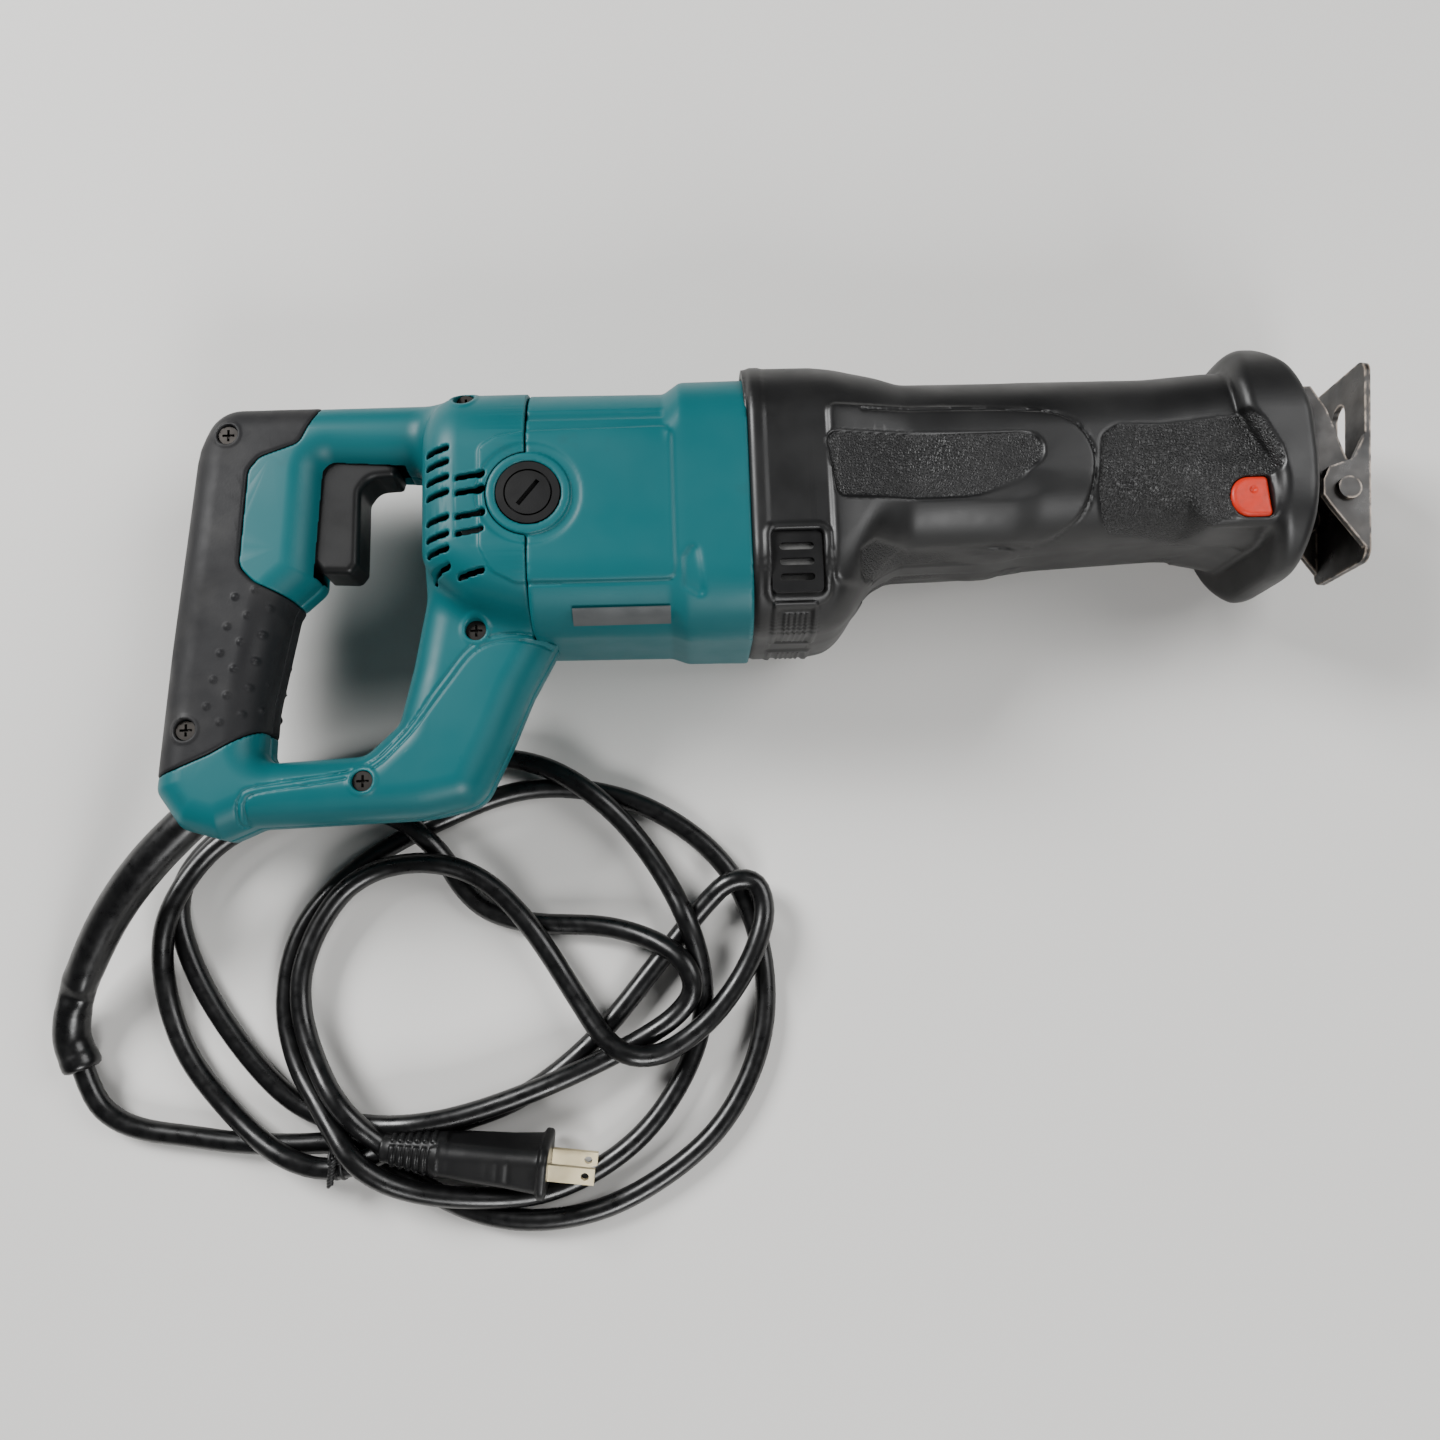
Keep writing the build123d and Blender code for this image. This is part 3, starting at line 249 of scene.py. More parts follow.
def curve_through(points, step, flat=False):
    """Points every step, seen from above if flat, along a smooth curve through some points."""
    points = np.asarray(points, float)
    ends = np.vstack([2 * points[0] - points[1], points, 2 * points[-1] - points[-2]])
    dense = []
    for p0, p1, p2, p3 in zip(ends, ends[1:], ends[2:], ends[3:]):
        for t in np.linspace(0, 1, 24, endpoint=False):
            bend = 2 * p0 - 5 * p1 + 4 * p2 - p3
            dense.append(p1 + 0.5 * ((p2 - p0) * t + bend * t**2 + (3 * p1 - p0 - 3 * p2 + p3) * t**3))
    dense = np.vstack([dense, points[-1]])
    measured = dense[:, :2] if flat else dense
    travelled = np.r_[0, np.cumsum(np.linalg.norm(np.diff(measured, axis=0), axis=1))]
    wanted = np.linspace(0, travelled[-1], int(travelled[-1] / step) + 1)
    return np.stack([np.interp(wanted, travelled, axis) for axis in dense.T], axis=1)


ON_FLOOR = CORD_R + 0.1  # height of the cord's middle on the floor, mm
SAME_STRETCH = 30  # points nearer than this along the cord don't cross, mm
FALL = 0.12  # how far the cord's height may drop in each round, mm
ROUNDS = 400


def settle(route, start_mm, end_mm, step):
    """Heights of a cord that lies over its own earlier turns: x, y, height in mm."""
    flat, order = route[:, :2], route[:, 2]
    gap = np.linalg.norm(flat[:, None] - flat[None], axis=2)
    count = len(flat)
    apart = np.abs(np.arange(count)[:, None] - np.arange(count)[None]) * step > SAME_STRETCH
    reach = 2 * CORD_R + 0.5  # two turns nearer than this would touch
    lift = np.sqrt(np.maximum(reach**2 - gap**2, 0))
    over = apart & (gap < reach) & (order[:, None] > order[None])
    height = np.full(count, ON_FLOOR)
    for _ in range(ROUNDS):
        need = np.where(over, height[None] + lift, 0).max(axis=1)
        need = np.maximum(need, ON_FLOOR)
        smooth = height.copy()
        for _ in range(3):
            smooth[1:-1] = (smooth[:-2] + 2 * smooth[1:-1] + smooth[2:]) / 4
        height = np.maximum(need, smooth - FALL)
        height[0] = start_mm
        height[-3:] = end_mm
    return np.column_stack([flat, height])


def coil_points(step=4.0, every=3):
    """Control points of the turns, in metres, from the way points."""
    way = TURNS + [(*PLUG_START_MM[:2], 4)]
    settled = settle(curve_through(way, step, flat=True), LEAD[-1][2] / MM, PLUG_START_MM[2], step)
    return [tuple(point * MM) for point in settled[1::every]]


def cord_material():
    shade = Shade("cord_rubber", roughness=0.32, Specular_IOR_Level=0.5)
    fine = shade.noise(260.0, 4)
    dust = shade.band(shade.noise(22.0, 5), 0.55, 0.8)
    shade.colour(shade.mix(dust, (0.002, 0.002, 0.0022), (0.008, 0.008, 0.008)))
    shade.rough(shade.band(fine, -0.35, 2.3))
    shade.bump(fine, 0.15, 0.0001)
    return shade.material


def add_cord():
    points = LEAD + coil_points() + [tuple(value * MM for value in PLUG_START_MM)]
    curve = bpy.data.curves.new("power_cord_line", "CURVE")
    curve.dimensions = "3D"
    curve.bevel_depth = CORD_R * MM
    curve.bevel_resolution = 5
    curve.resolution_u = 4
    curve.use_fill_caps = True
    spline = curve.splines.new("NURBS")
    spline.points.add(len(points) - 1)
    for point, place in zip(spline.points, points):
        point.co = (*place, 1)
    spline.order_u = 3
    spline.use_endpoint_u = True
    cord = bpy.data.objects.new("cord_line", curve)
    bpy.context.collection.objects.link(cord)
    curve.materials.append(MATERIALS["cord_jacket"])
    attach(cord, "root")
    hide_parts("power_cord", "cord_coil")


# ---- distance fields on a grid, in mm ----
both = np.maximum  # the overlap of two fields, with a sharp edge


def smooth_min(a, b, radius):
    """The union of two fields, with a fillet where they meet."""
    blend = np.maximum(radius - np.abs(a - b), 0) / radius
    return np.minimum(a, b) - blend * blend * radius / 4


def smooth_max(a, b, radius):
    return -smooth_min(-a, -b, radius)


def with_edge(a, b, edge):
    """The overlap of two fields, its shared edge rounded."""
    over_a = a + edge
    over_b = b + edge
    outside = np.hypot(np.maximum(over_a, 0), np.maximum(over_b, 0))
    return outside + np.minimum(np.maximum(over_a, over_b), 0) - edge


def rounded_box(u, v, half_u, half_v, corner):
    """A rectangle with rounded corners, or a bar of that section."""
    return with_edge(np.abs(u) - half_u, np.abs(v) - half_v, corner)


def rounded(points, radii):
    """A closed outline as many short runs, each corner an arc."""
    points = np.asarray(points, float)
    radii = np.broadcast_to(radii, len(points))
    line = []
    for before, here, after, radius in zip(np.roll(points, 1, 0), points, np.roll(points, -1, 0), radii):
        into = (before - here) / np.linalg.norm(before - here)
        out = (after - here) / np.linalg.norm(after - here)
        half = np.arccos(np.clip(into @ out, -1, 1)) / 2
        middle = (into + out) / np.linalg.norm(into + out)
        centre = here + middle * radius / np.sin(half)
        first = here + into * radius / np.tan(half) - centre
        last = here + out * radius / np.tan(half) - centre
        turn = np.arctan2(first[0] * last[1] - first[1] * last[0], first @ last)
        for angle in np.linspace(0, turn, max(3, int(abs(turn) / radians(7)))):
            c, s = np.cos(angle), np.sin(angle)
            line.append(centre + (c * first[0] - s * first[1], s * first[0] + c * first[1]))
    return np.array(line)


def runs_away(line, x, y):
    """Distance of each x, y from the nearest of some runs."""
    away = np.full(np.broadcast(x, y).shape, np.inf)
    for (ax, ay), (bx, by) in zip(line[:-1], line[1:]):
        dx, dy = bx - ax, by - ay
        along = np.clip(((x - ax) * dx + (y - ay) * dy) / max(dx * dx + dy * dy, 1e-9), 0, 1)
        away = np.minimum(away, np.hypot(x - ax - along * dx, y - ay - along * dy))
    return away


def area(points, radii, x, y):
    """Below 0 inside a closed outline with rounded corners."""
    line = rounded(points, radii)
    closed = np.vstack([line, line[:1]])
    inside = np.zeros(np.broadcast(x, y).shape, bool)
    for (ax, ay), (bx, by) in zip(closed[:-1], closed[1:]):
        if ay != by:
            inside ^= ((ay > y) != (by > y)) & (x < (bx - ax) * (y - ay) / (by - ay) + ax)
    away = runs_away(closed, x, y)
    return np.where(inside, -away, away)


def stroke(points, x, y):
    """Distance from an open line whose points are joined smoothly."""
    line = curve_through([(*point, 0) for point in points], 2.0)
    return runs_away(line[:, :2], x, y)


def sunk(field, where, depth, soft=0.5):
    """Presses an area in by a depth."""
    return smooth_max(field, smooth_min(-where, field + depth, soft), soft)


def raised(field, where, height, soft=0.5):
    """Lifts an area by a height."""
    return smooth_min(field, smooth_max(where, field - height, soft), soft)


def cut(field, *holes):
    """Takes some fields away, with sharp edges."""
    for hole in holes:
        field = both(field, -hole)
    return field


class Grid:
    """Points in a box, mm, and the surface of a field sampled on them."""

    def __init__(self, low, high, voxel):
        self.low = np.array(low, float)
        self.voxel = voxel
        self.shape = tuple(np.ceil((np.array(high) - self.low) / voxel).astype(int) + 1)
        x, y, z = (start + voxel * np.arange(size) for start, size in zip(self.low, self.shape))
        self.x, self.y, self.z = x[:, None, None], y[None, :, None], z[None, None, :]

    def surface(self, name, field, keep):
        """A smooth shaded object; keep is the share of faces that stay."""
        band = 3 * self.voxel
        volume = openvdb.FloatGrid(band)
        field = np.broadcast_to(field, self.shape)
        volume.copyFromArray(np.ascontiguousarray(np.clip(field, -band, band), dtype=np.float32))
        points, triangles, quads = volume.convertToPolygons(isovalue=0.0, adaptivity=0.0)
        corners = (self.low + points * self.voxel) * MM
        mesh = bpy.data.meshes.new(name)
        mesh.from_pydata(corners.tolist(), [], quads[:, ::-1].tolist() + triangles[:, ::-1].tolist())
        mesh.validate()
        made = bpy.data.objects.new(name, mesh)
        bpy.context.collection.objects.link(made)
        made.modifiers.new("fewer", "DECIMATE").ratio = keep
        graph = bpy.context.evaluated_depsgraph_get()
        mesh = bpy.data.meshes.new_from_object(made.evaluated_get(graph))
        made.modifiers.clear()
        made.data = mesh
        mesh.shade_smooth()
        return made


def along(x, stations, soft=0.0):
    """Each column of some stations, read at x; soft is how far their corners are eased."""
    table = np.array(stations, float)
    samples = 15
    shifts = np.linspace(-soft, soft, samples)
    weight = 1 + np.cos(pi * np.linspace(-1, 1, samples + 2)[1:-1])
    columns = []
    for column in table[:, 1:].T:
        values = [np.interp(x.ravel() + shift, table[:, 0], column) for shift in shifts]
        columns.append(np.average(values, axis=0, weights=weight)[:, None, None])
    return columns


def section(grid, middle, half_height, half_width, corner):
    """A rounded bar along x, about the middle plane."""
    return rounded_box(grid.y - middle, grid.z - MID_Z, half_height, half_width, corner)


def plate(x, y, spot, corner):
    """A rounded rectangle seen from the side: middle x and y, half length, half height."""
    middle_x, middle_y, half_length, half_height = spot
    return rounded_box(x - middle_x, y - middle_y, half_length, half_height, corner)


# ---- the saw's shape ----
REAR_SEAM_X = -88.0
FRONT_SEAM_X = -10.0
HANDLE_HALF = 18.0
WALL = 3.0
# How far from the middle plane the side faces' details, holes and lines stay.
FACE, HOLE, LINE = 30, 20, 8
LOOP = [  # the handle's outer edge, with its arm down from the motor
    (-95, 73), (-204.5, 72.5), (-212, 57), (-219.5, -20), (-223.5, -70), (-214.5, -83), (-200, -87.5),
    (-189, -83), (-129, -81.5), (-109, -77.5), (-99, -57), (-91, -38), (-80.5, -19), (-72, 10), (-95, 10),
]
LOOP_RADII = [1, 14, 30, 100, 6, 6, 4, 4, 40, 12, 20, 30, 12, 1, 1]
GAP = [  # the opening for the fingers
    (-165, 50), (-127, 47.5), (-126.5, 6), (-133, -28), (-138, -48), (-150, -59), (-186.5, -60.5),
    (-185.5, -40), (-178, -3), (-168, 6),
]
GAP_RADII = [4, 7, 60, 60, 8, 8, 5, 60, 8, 6]
GRIP = [  # where rubber covers the rear bar
    (-165, 90), (-167, 68), (-173, 56), (-187, 51), (-191, 46), (-193.5, 10), (-188, 4), (-172, -3),
    (-163, -6), (-166, -48), (-186, -49), (-202, -58), (-214, -63), (-240, -70), (-240, 90),
]
GRIP_RADII = [1, 8, 6, 6, 5, 6, 10, 20, 1, 1, 8, 30, 20, 1, 1]
GRIP_DEPTH = 2.4
STUD_COLUMNS = [  # x and y of the top stud, and how many below one another
    (-194.5, -1.4, 1), (-187.5, 1.0, 1), (-197, -12.2, 4), (-190.1, -8.3, 5), (-182.8, -5.4, 5),
    (-176.9, -3.6, 5),
]
STUD_R = 1.7
SHOULDER = (26.1, 45.6, 42, 28)  # middle y, half height, half width, corner
SHOULDER_PLAN = [(-126, 90), (-126, 5), (-111, -11), (-90, -20), (-50, -24), (-50, 90)]
SHOULDER_RADII = [8, 12, 14, 4, 1, 1]
SCREWS = [  # x, y, and the face's height above the middle plane; the grip's two come first
    (-199, 60, 18), (-211, -49, 18), (-111, 66, 26.5), (-109, -16, 18), (-149, -69, 18),
]
GRIP_SCREWS = SCREWS[:2]
SCREW_R = 3.75
RING_R, GRIP_RING_R = 5.4, 5.2  # the low ring round a screw, in plastic and in rubber
POST_R, PILOT_R = 4.6, 2.1  # the post that a screw goes into
CAP_SPOT = (-87.0, 26.0)
CAP_R = 11.35
BOSS_R = 14.7
BOSS_TOP = 42.9
DISH_R = 18.2  # the shallow dish round the boss
SIDE_PANEL = [
    (-104, 43), (-98, 47), (-86, 49), (-37, 50), (-37, -6), (-92, -5), (-100, -1), (-104, 7),
]
VENT_COLUMNS = [  # x, half length, the height of each slot
    (-118.6, 4.4, [43, 38, 32.5, 27, 18, 12, 7, 1.5]),
    (-107.3, 5.0, [33, 27.5, 19, 13, -1]),
]
VENT_SLOPE = 0.17
HANDLE_GROOVE = [
    (-82, -21), (-98, -19), (-110, -23), (-120, -35), (-129, -47), (-138, -57), (-145, -63),
    (-156, -67), (-185, -71), (-190.5, -74.5), (-191.5, -82),
]
TRIGGER_SLOT = (-160, 31.4, 24, 23.9)  # middle x and y, half length, half height
TRIGGER_SLOT_HALF = 10.3
GUARD_SEAT = [(-196, -62, 44), (-206, -71, 44), (-230, -92, 38), (-249, -112, 27)]
GUARD_SEAT_R = 7.4
SEAM_GAP = 0.08  # each half stops this far from the middle plane


def handle_field(grid):
    """The whole handle with its shoulder over the motor's rear, without details."""
    x, y = grid.x, grid.y
    flat = cut(area(LOOP, LOOP_RADII, x, y), area(GAP, GAP_RADII, x, y))
    loop = with_edge(flat, np.abs(grid.z - MID_Z) - HANDLE_HALF, 12.0)
    shoulder = with_edge(section(grid, *SHOULDER), area(SHOULDER_PLAN, SHOULDER_RADII, x, y), 15.0)
    return smooth_min(loop, shoulder, 9.0)


def vent_slots(x, y):
    """Slanted cooling slots in two columns behind the motor's panel."""
    slots = np.inf
    for column_x, half_length, heights in VENT_COLUMNS:
        for slot_y in heights:
            slant = (x - column_x) * VENT_SLOPE
            slot = rounded_box(x - column_x, y - slot_y - slant, half_length, 1.15, 0.9)
            slots = np.minimum(slots, slot)
    return slots


def half_grid(low, high, side, reach, voxel):
    """A grid on one side of the middle plane and a little past it."""
    ends = sorted((MID_Z - 1.5 * side, MID_Z + reach * side))
    return Grid((*low, ends[0]), (*high, ends[1]), voxel)


def inner_room(grid, depth):
    """The slot that the trigger slides in, and the seat of the cord guard."""
    slot = plate(grid.x, grid.y, TRIGGER_SLOT, 2)
    return both(slot, depth - TRIGGER_SLOT_HALF), tube_field(grid, GUARD_SEAT, GUARD_SEAT_R)


def dished(field, cap_away, depth):
    """The shallow dish round a brush cap's boss."""
    return sunk(field, both(cap_away - DISH_R, FACE - depth), 0.5, 0.6)


def panelled(field, x, y, depth):
    """The raised panel that runs over the handle and the motor housing."""
    return raised(field, both(area(SIDE_PANEL, 4, x, y), FACE - depth), 0.7, 0.6)


def add_handle_half(name, side):
    """One shell of the handle; side is 1 for the saw's right and -1 for its left."""
    voxel = 0.55 if side > 0 else 0.7  # the left side lies face down
    grid = half_grid((-229, -92), (-77, 79), side, 44, voxel)
    x, y = grid.x, grid.y
    depth = (grid.z - MID_Z) * side
    base = handle_field(grid)
    shell = sunk(base, area(GRIP, GRIP_RADII, x, y), GRIP_DEPTH, 0.2)
    double_line = np.abs(stroke(HANDLE_GROOVE, x, y) - 1.2) - 0.35
    shell = sunk(shell, both(double_line, LINE - depth), 0.7, 0.4)
    shell = panelled(shell, x, y, depth)
    shell = cut(shell, both(vent_slots(x, y), 6 - depth))
    cap_away = np.hypot(x - CAP_SPOT[0], y - CAP_SPOT[1])
    shell = dished(shell, cap_away, depth)
    shell = cut(shell, both(cap_away - BOSS_R - 0.3, HOLE - depth))
    if side > 0:
        for screw in SCREWS:
            away = np.hypot(x - screw[0], y - screw[1])
            level = screw[2]
            if screw not in GRIP_SCREWS:
                shell = raised(shell, both(away - RING_R, level - 4 - depth), 0.35, 0.6)
            shell = smooth_max(shell, -both(away - SCREW_R, level - 3.8 - depth), 0.5)
    shell = cut(shell, smooth_max(base + WALL, depth - 40, 1.0))
    for screw_x, screw_y, level in SCREWS:
        away = np.hypot(x - screw_x, y - screw_y)
        post = both(away - POST_R, depth - level + 4)
        post = both(post, base + 0.5)
        shell = np.minimum(shell, both(post, PILOT_R - away))
    shell = cut(shell, *inner_room(grid, depth))
    # the shell ends at the rear seam, but the arm below goes on
    past_seam = np.minimum(x - REAR_SEAM_X + 0.3, y + 19.9)
    shell = both(both(shell, SEAM_GAP - depth), past_seam)
    # a small chamfer where the halves meet
    shell = smooth_max(shell, 0.9 - depth - np.maximum(0, -(base + 0.9)) * 3, 0.3)
    return grid.surface(name, shell, keep=0.45)


def add_grip_cover(name, side):
    """The rubber cover on one half of the handle's rear bar, with its studs."""
    grid = half_grid((-229, -73), (-162, 79), side, 22, 0.55)
    x, y = grid.x, grid.y
    depth = (grid.z - MID_Z) * side
    base = handle_field(grid)
    cover = with_edge(area(GRIP, GRIP_RADII, x, y) + 0.35, base - 0.25, 0.9)
    for head_x, head_y, count in STUD_COLUMNS:
        for row in range(count):
            stud_x, stud_y = head_x - 2.15 * row, head_y - 9.6 * row
            away = np.sqrt((x - stud_x) ** 2 + (y - stud_y) ** 2 + (base + 0.75) ** 2)
            away = both(away, HANDLE_HALF - 6 - depth)
            cover = smooth_min(cover, away - STUD_R, 0.3)
    for screw_x, screw_y, level in GRIP_SCREWS:
        away = np.hypot(x - screw_x, y - screw_y)
        cover = raised(cover, both(away - GRIP_RING_R, level - 4 - depth), 0.3, 0.4)
        cover = both(cover, SCREW_R + 0.1 - away)
    cover = both(cover, -(base + GRIP_DEPTH - 0.1))
    cover = cut(cover, *inner_room(grid, depth))
    cover = both(cover, SEAM_GAP - depth)
    return grid.surface(name, cover, keep=0.6)


def tube_field(grid, points, radius):
    """A round bar along a line in space."""
    best = np.full(grid.shape, np.inf, np.float32)
    for a, b in zip(points, points[1:]):
        a, b = np.array(a, float), np.array(b, float)
        run = b - a
        t = ((grid.x - a[0]) * run[0] + (grid.y - a[1]) * run[1] + (grid.z - a[2]) * run[2]) / (run @ run)
        t = np.clip(t, 0, 1)
        dx, dy, dz = (p - c - t * r for p, c, r in zip((grid.x, grid.y, grid.z), a, run))
        best = np.minimum(best, np.sqrt(dx * dx + dy * dy + dz * dz))
    return best - radius


HOUSING = [  # x, middle y, half height, half width, corner
    (-88, 25.9, 45.9, 41.4, 24), (-39, 25.4, 46.0, 41.4, 24), (-33, 25.4, 48.2, 41.7, 24),
    (-10, 25.3, 48.4, 42, 24),
]
HOLLOW_FROM_X = -85
PEAK = [(-34, 2), (-29.5, 8), (-27, -12), (-34, -8)]  # the pointed dent in the front ring
LABEL_AXIS = (3, 62)  # y and z of the round lower edge that the label follows
LABEL_R = 24.0


def add_motor_housing():
    """The teal tube round the motor, open at both ends, with a boss for each brush cap."""
    grid = Grid((REAR_SEAM_X - 16.5, -26, -0.4), (FRONT_SEAM_X + 1, 81, 88.4), 0.75)
    x, y, z = grid.x, grid.y, grid.z
    depth = np.abs(z - MID_Z)
    middle, half_height, half_width, corner = along(x, HOUSING, 1.5)
    # the top corners are rounder behind the front ring
    corner = np.where(y > middle, corner + 6 * np.clip((-34 - x) / 6, 0, 1), corner)
    base = section(grid, middle, half_height, half_width, corner)
    body = panelled(base, x, y, depth)
    body = sunk(body, both(area(PEAK, 1.5, x, y), FACE - depth), 1.0, 1.6)
    # a step along the top of the side face and a fine line along its foot
    ledge = both(np.abs(y - 55.5) - 1.6, x + 40)
    body = sunk(body, both(ledge, HOLE - depth), 0.7, 0.8)
    lower_line = both(np.abs(y + 5.6) - 0.5, x + 38)
    body = sunk(body, both(lower_line, FACE - depth), 0.5, 0.4)
    cap_away = np.hypot(x - CAP_SPOT[0], y - CAP_SPOT[1])
    body = dished(body, cap_away, depth)
    body = both(both(body, REAR_SEAM_X + 0.1 - x), x - FRONT_SEAM_X)
    body = cut(body, both(base + WALL, HOLLOW_FROM_X - x))
    boss = with_edge(cap_away - BOSS_R, depth - BOSS_TOP, 0.8)
    body = np.minimum(body, both(boss, 24 - depth))
    body = both(body, CAP_R - cap_away)
    # room for the label plate on the lower edge
    from_axis = np.hypot(y - LABEL_AXIS[0], z - LABEL_AXIS[1])
    label = both(np.abs(x + 56) - 17.4, from_axis - LABEL_R - 0.35)
    label = both(both(y - 1.5, 64 - z), label)
    body = cut(body, both(label, LABEL_R + 0.2 - from_axis))
    return grid.surface("motor_shell", body, keep=0.5)


BOOT = [  # x, middle y, half height, half width, corner
    (-10, 28.5, 49.7, 43.5, 26.5), (14, 28.4, 49.7, 43.5, 26.5), (20, 28.8, 48.8, 43.4, 26.5),
    (25, 30.4, 46.4, 42.6, 26), (29, 33, 43.2, 41.7, 26), (33, 36, 39.7, 41, 26), (38, 38.4, 36.6, 40, 26),
    (47, 39.5, 33.4, 38.4, 26.5), (84, 39.7, 33.2, 37.9, 26.5), (93, 41, 32.2, 37.6, 26.5),
    (138, 42.1, 31.2, 36.6, 26), (150, 42.2, 31.1, 36.4, 23), (160, 42.2, 31.4, 36.8, 22),
    (168, 41.6, 31.9, 37.4, 22), (176, 40.5, 33.3, 38.4, 23), (190, 40.5, 33.3, 39, 24),
]
FLANGE = [  # the lip round the nose, seen from the side
    (180.5, -7), (175.5, 12), (176, 26), (173.8, 34), (168.5, 44), (165.8, 52), (165, 63), (168.5, 78),
    (172.5, 84), (180.5, 84), (187.5, 71), (191.5, 50), (191.8, 34), (190.5, 12), (188.5, -7),
]
FLANGE_RADII = [4, 30, 12, 12, 12, 12, 12, 10, 4, 5, 20, 20, 30, 20, 5]
CASE = [  # the gear housing inside the boot, as the stations above
    (-10, 28.5, 48.9, 40.4, 22.4), (14, 28.5, 48.9, 40.4, 22.4), (32, 37.5, 37.9, 37.4, 22.4),
    (47, 39.5, 32.4, 34.4, 22.4), (150, 42, 30.4, 33.4, 22.4), (176, 42, 30.4, 33.4, 22.4),
]
BOOT_GROOVE = [  # the line round the palm rest and down to the rear rim
    (30, 54), (60, 54.5), (98, 53), (109, 46), (113, 35), (110, 19), (103, 12), (92, 9), (51, 6.8),
    (42, 4), (33, -6), (25, -18), (18, -27),
]
PALM = [  # the raised palm rest
    (18, 55.5), (60, 55.8), (98, 54), (110.5, 46), (114, 35), (111, 18), (103, 11), (92, 8), (51, 5.8),
    (40, 3), (31, -8), (18, -8),
]
PALM_RADII = [3, 40, 14, 10, 12, 12, 10, 20, 30, 10, 12, 3]
UNDER_LINE = [(60, 0.5), (95, 1.5), (130, 3), (150, 0), (165, -4)]  # along the lower edge
PANELS = [  # the grained panels: outline, corner radii, how deep it lies
    ([(17, 45), (90, 45), (98, 39), (86, 29), (70, 22.5), (20, 21.5)], [3, 8, 6, 12, 20, 3], 1.3),
    ([(27, 3), (33, 7.5), (60, 8), (78, 6), (78, 3), (40, 1.5), (28, -7)], 2, 1.0),
    ([(116, 44), (122, 48), (137, 47.5), (168, 50.5), (172, 47), (177.5, 36), (178.5, 30), (156, 10),
      (118, 12), (114, 24)], [5, 4, 4, 3, 4, 5, 3, 6, 6, 8], 0.8),
]
GRAIN_FADE = 0.8  # the grain comes in over this distance from a panel's edge
LIP = (38.5, 45.5, 43.6, 34)  # middle y, half height, half width, corner
RECESS = (41, 31, 28, 18)
MOUTH = (42, 29, 26, 16)
VENT = (5.5, -1.0, 9, 11)  # middle x and y, half length, half height
LOW_VENT = (4.5, -22.5, 8, 8.5)
BUTTON_PAD = (164, 22, 16, 12.5)
BUTTON_SPOT = (167.5, 19.6)
BUTTON_SHAPE = ([(-7.4, -7.3), (7.2, -7.3), (6.4, 7.3), (-7.4, 7.3)], [7, 1.6, 1.6, 7])
BUTTON_TOP = 38.2  # above the middle plane


def add_boot():
    """The rubber boot over the gear case, with its grained panels, vents and button hole."""
    grid = Grid((FRONT_SEAM_X - 1, -27, -1), (199, 92, 89), 0.75)
    x, y, z = grid.x, grid.y, grid.z
    depth = np.abs(z - MID_Z)
    base = section(grid, *along(x, BOOT, 4.0))
    body = with_edge(base, both(FRONT_SEAM_X - x, x - 189), 1.2)
    # the rear rim, the lip round the nose and the recess in it
    body = raised(body, np.abs(x + 6.5) - 2.2, 0.5, 0.8)
    lip = with_edge(area(FLANGE, FLANGE_RADII, x, y), section(grid, *LIP), 4.5)
    body = smooth_min(body, lip, 1.2)
    body = smooth_max(body, -both(section(grid, *RECESS), 184 - x), 3.0)
    # the raised palm rest, the lines round and under it, the sunk panels and a finger scoop
    body = raised(body, both(area(PALM, PALM_RADII, x, y), LINE - depth), 1.3, 1.5)
    for line, half_line, sink in ((BOOT_GROOVE, 0.5, 0.8), (UNDER_LINE, 0.45, 0.7)):
        body = sunk(body, both(stroke(line, x, y) - half_line, LINE - depth), sink, 0.6)
    for outline, radii, sink in PANELS:
        body = sunk(body, both(area(outline, radii, x, y), 6 - depth), sink, 0.7)
    scoop = np.sqrt((x - 82) ** 2 / 9 + (y - 25) ** 2 + ((depth - 41) * 1.6) ** 2) - 5.5
    body = smooth_max(body, -scoop, 4.0)
    # the upper vent's frame and window
    window = plate(x, y, VENT, 2)
    body = raised(body, both(np.abs(window - 1.3) - 1.3, HOLE - depth), 0.7, 0.6)
    body = cut(body, both(window, 38 - depth))
    # rubber where the gear housing would show, but for the window
    cover = both(section(grid, *along(x, CASE)) - 0.5, x - 176)
    body = smooth_min(body, both(cover, -window), 0.6)
    # the lower vent's frame and slats
    low = both(plate(x, y, LOW_VENT, 1.5), 6 - depth)
    body = raised(body, np.abs(low + 0.9) - 0.9, 0.9, 0.4)
    slats = both(np.abs(np.mod(x, 1.9) - 0.95) - 0.4, low + 3.2)
    body = raised(body, slats, 0.8, 0.3)
    # the button's pad and hole, and a small moulded dot
    button = area(*BUTTON_SHAPE, x - BUTTON_SPOT[0], y - BUTTON_SPOT[1])
    pad = with_edge(plate(x, y, BUTTON_PAD, 9), z - MID_Z - 37.2, 5.0)
    body = smooth_min(body, both(pad, MID_Z + 14 - z), 5.0)
    body = raised(body, both(button - 1.4, HOLE - depth), 0.35, 0.6)
    body = both(body, 0.15 - button)
    dot = np.hypot(x - 144, y - 8)
    body = smooth_min(body, np.sqrt(dot**2 + base**2) - 1.0, 0.4)
    hollow = both(base + 3.5, both(FRONT_SEAM_X - 2 - x, x - 176))
    body = cut(body, hollow, both(section(grid, *MOUTH), 174 - x))
    boot = grid.surface("boot_shell", body, keep=0.42)
    mark(boot, "grain", grain_share)
    return boot


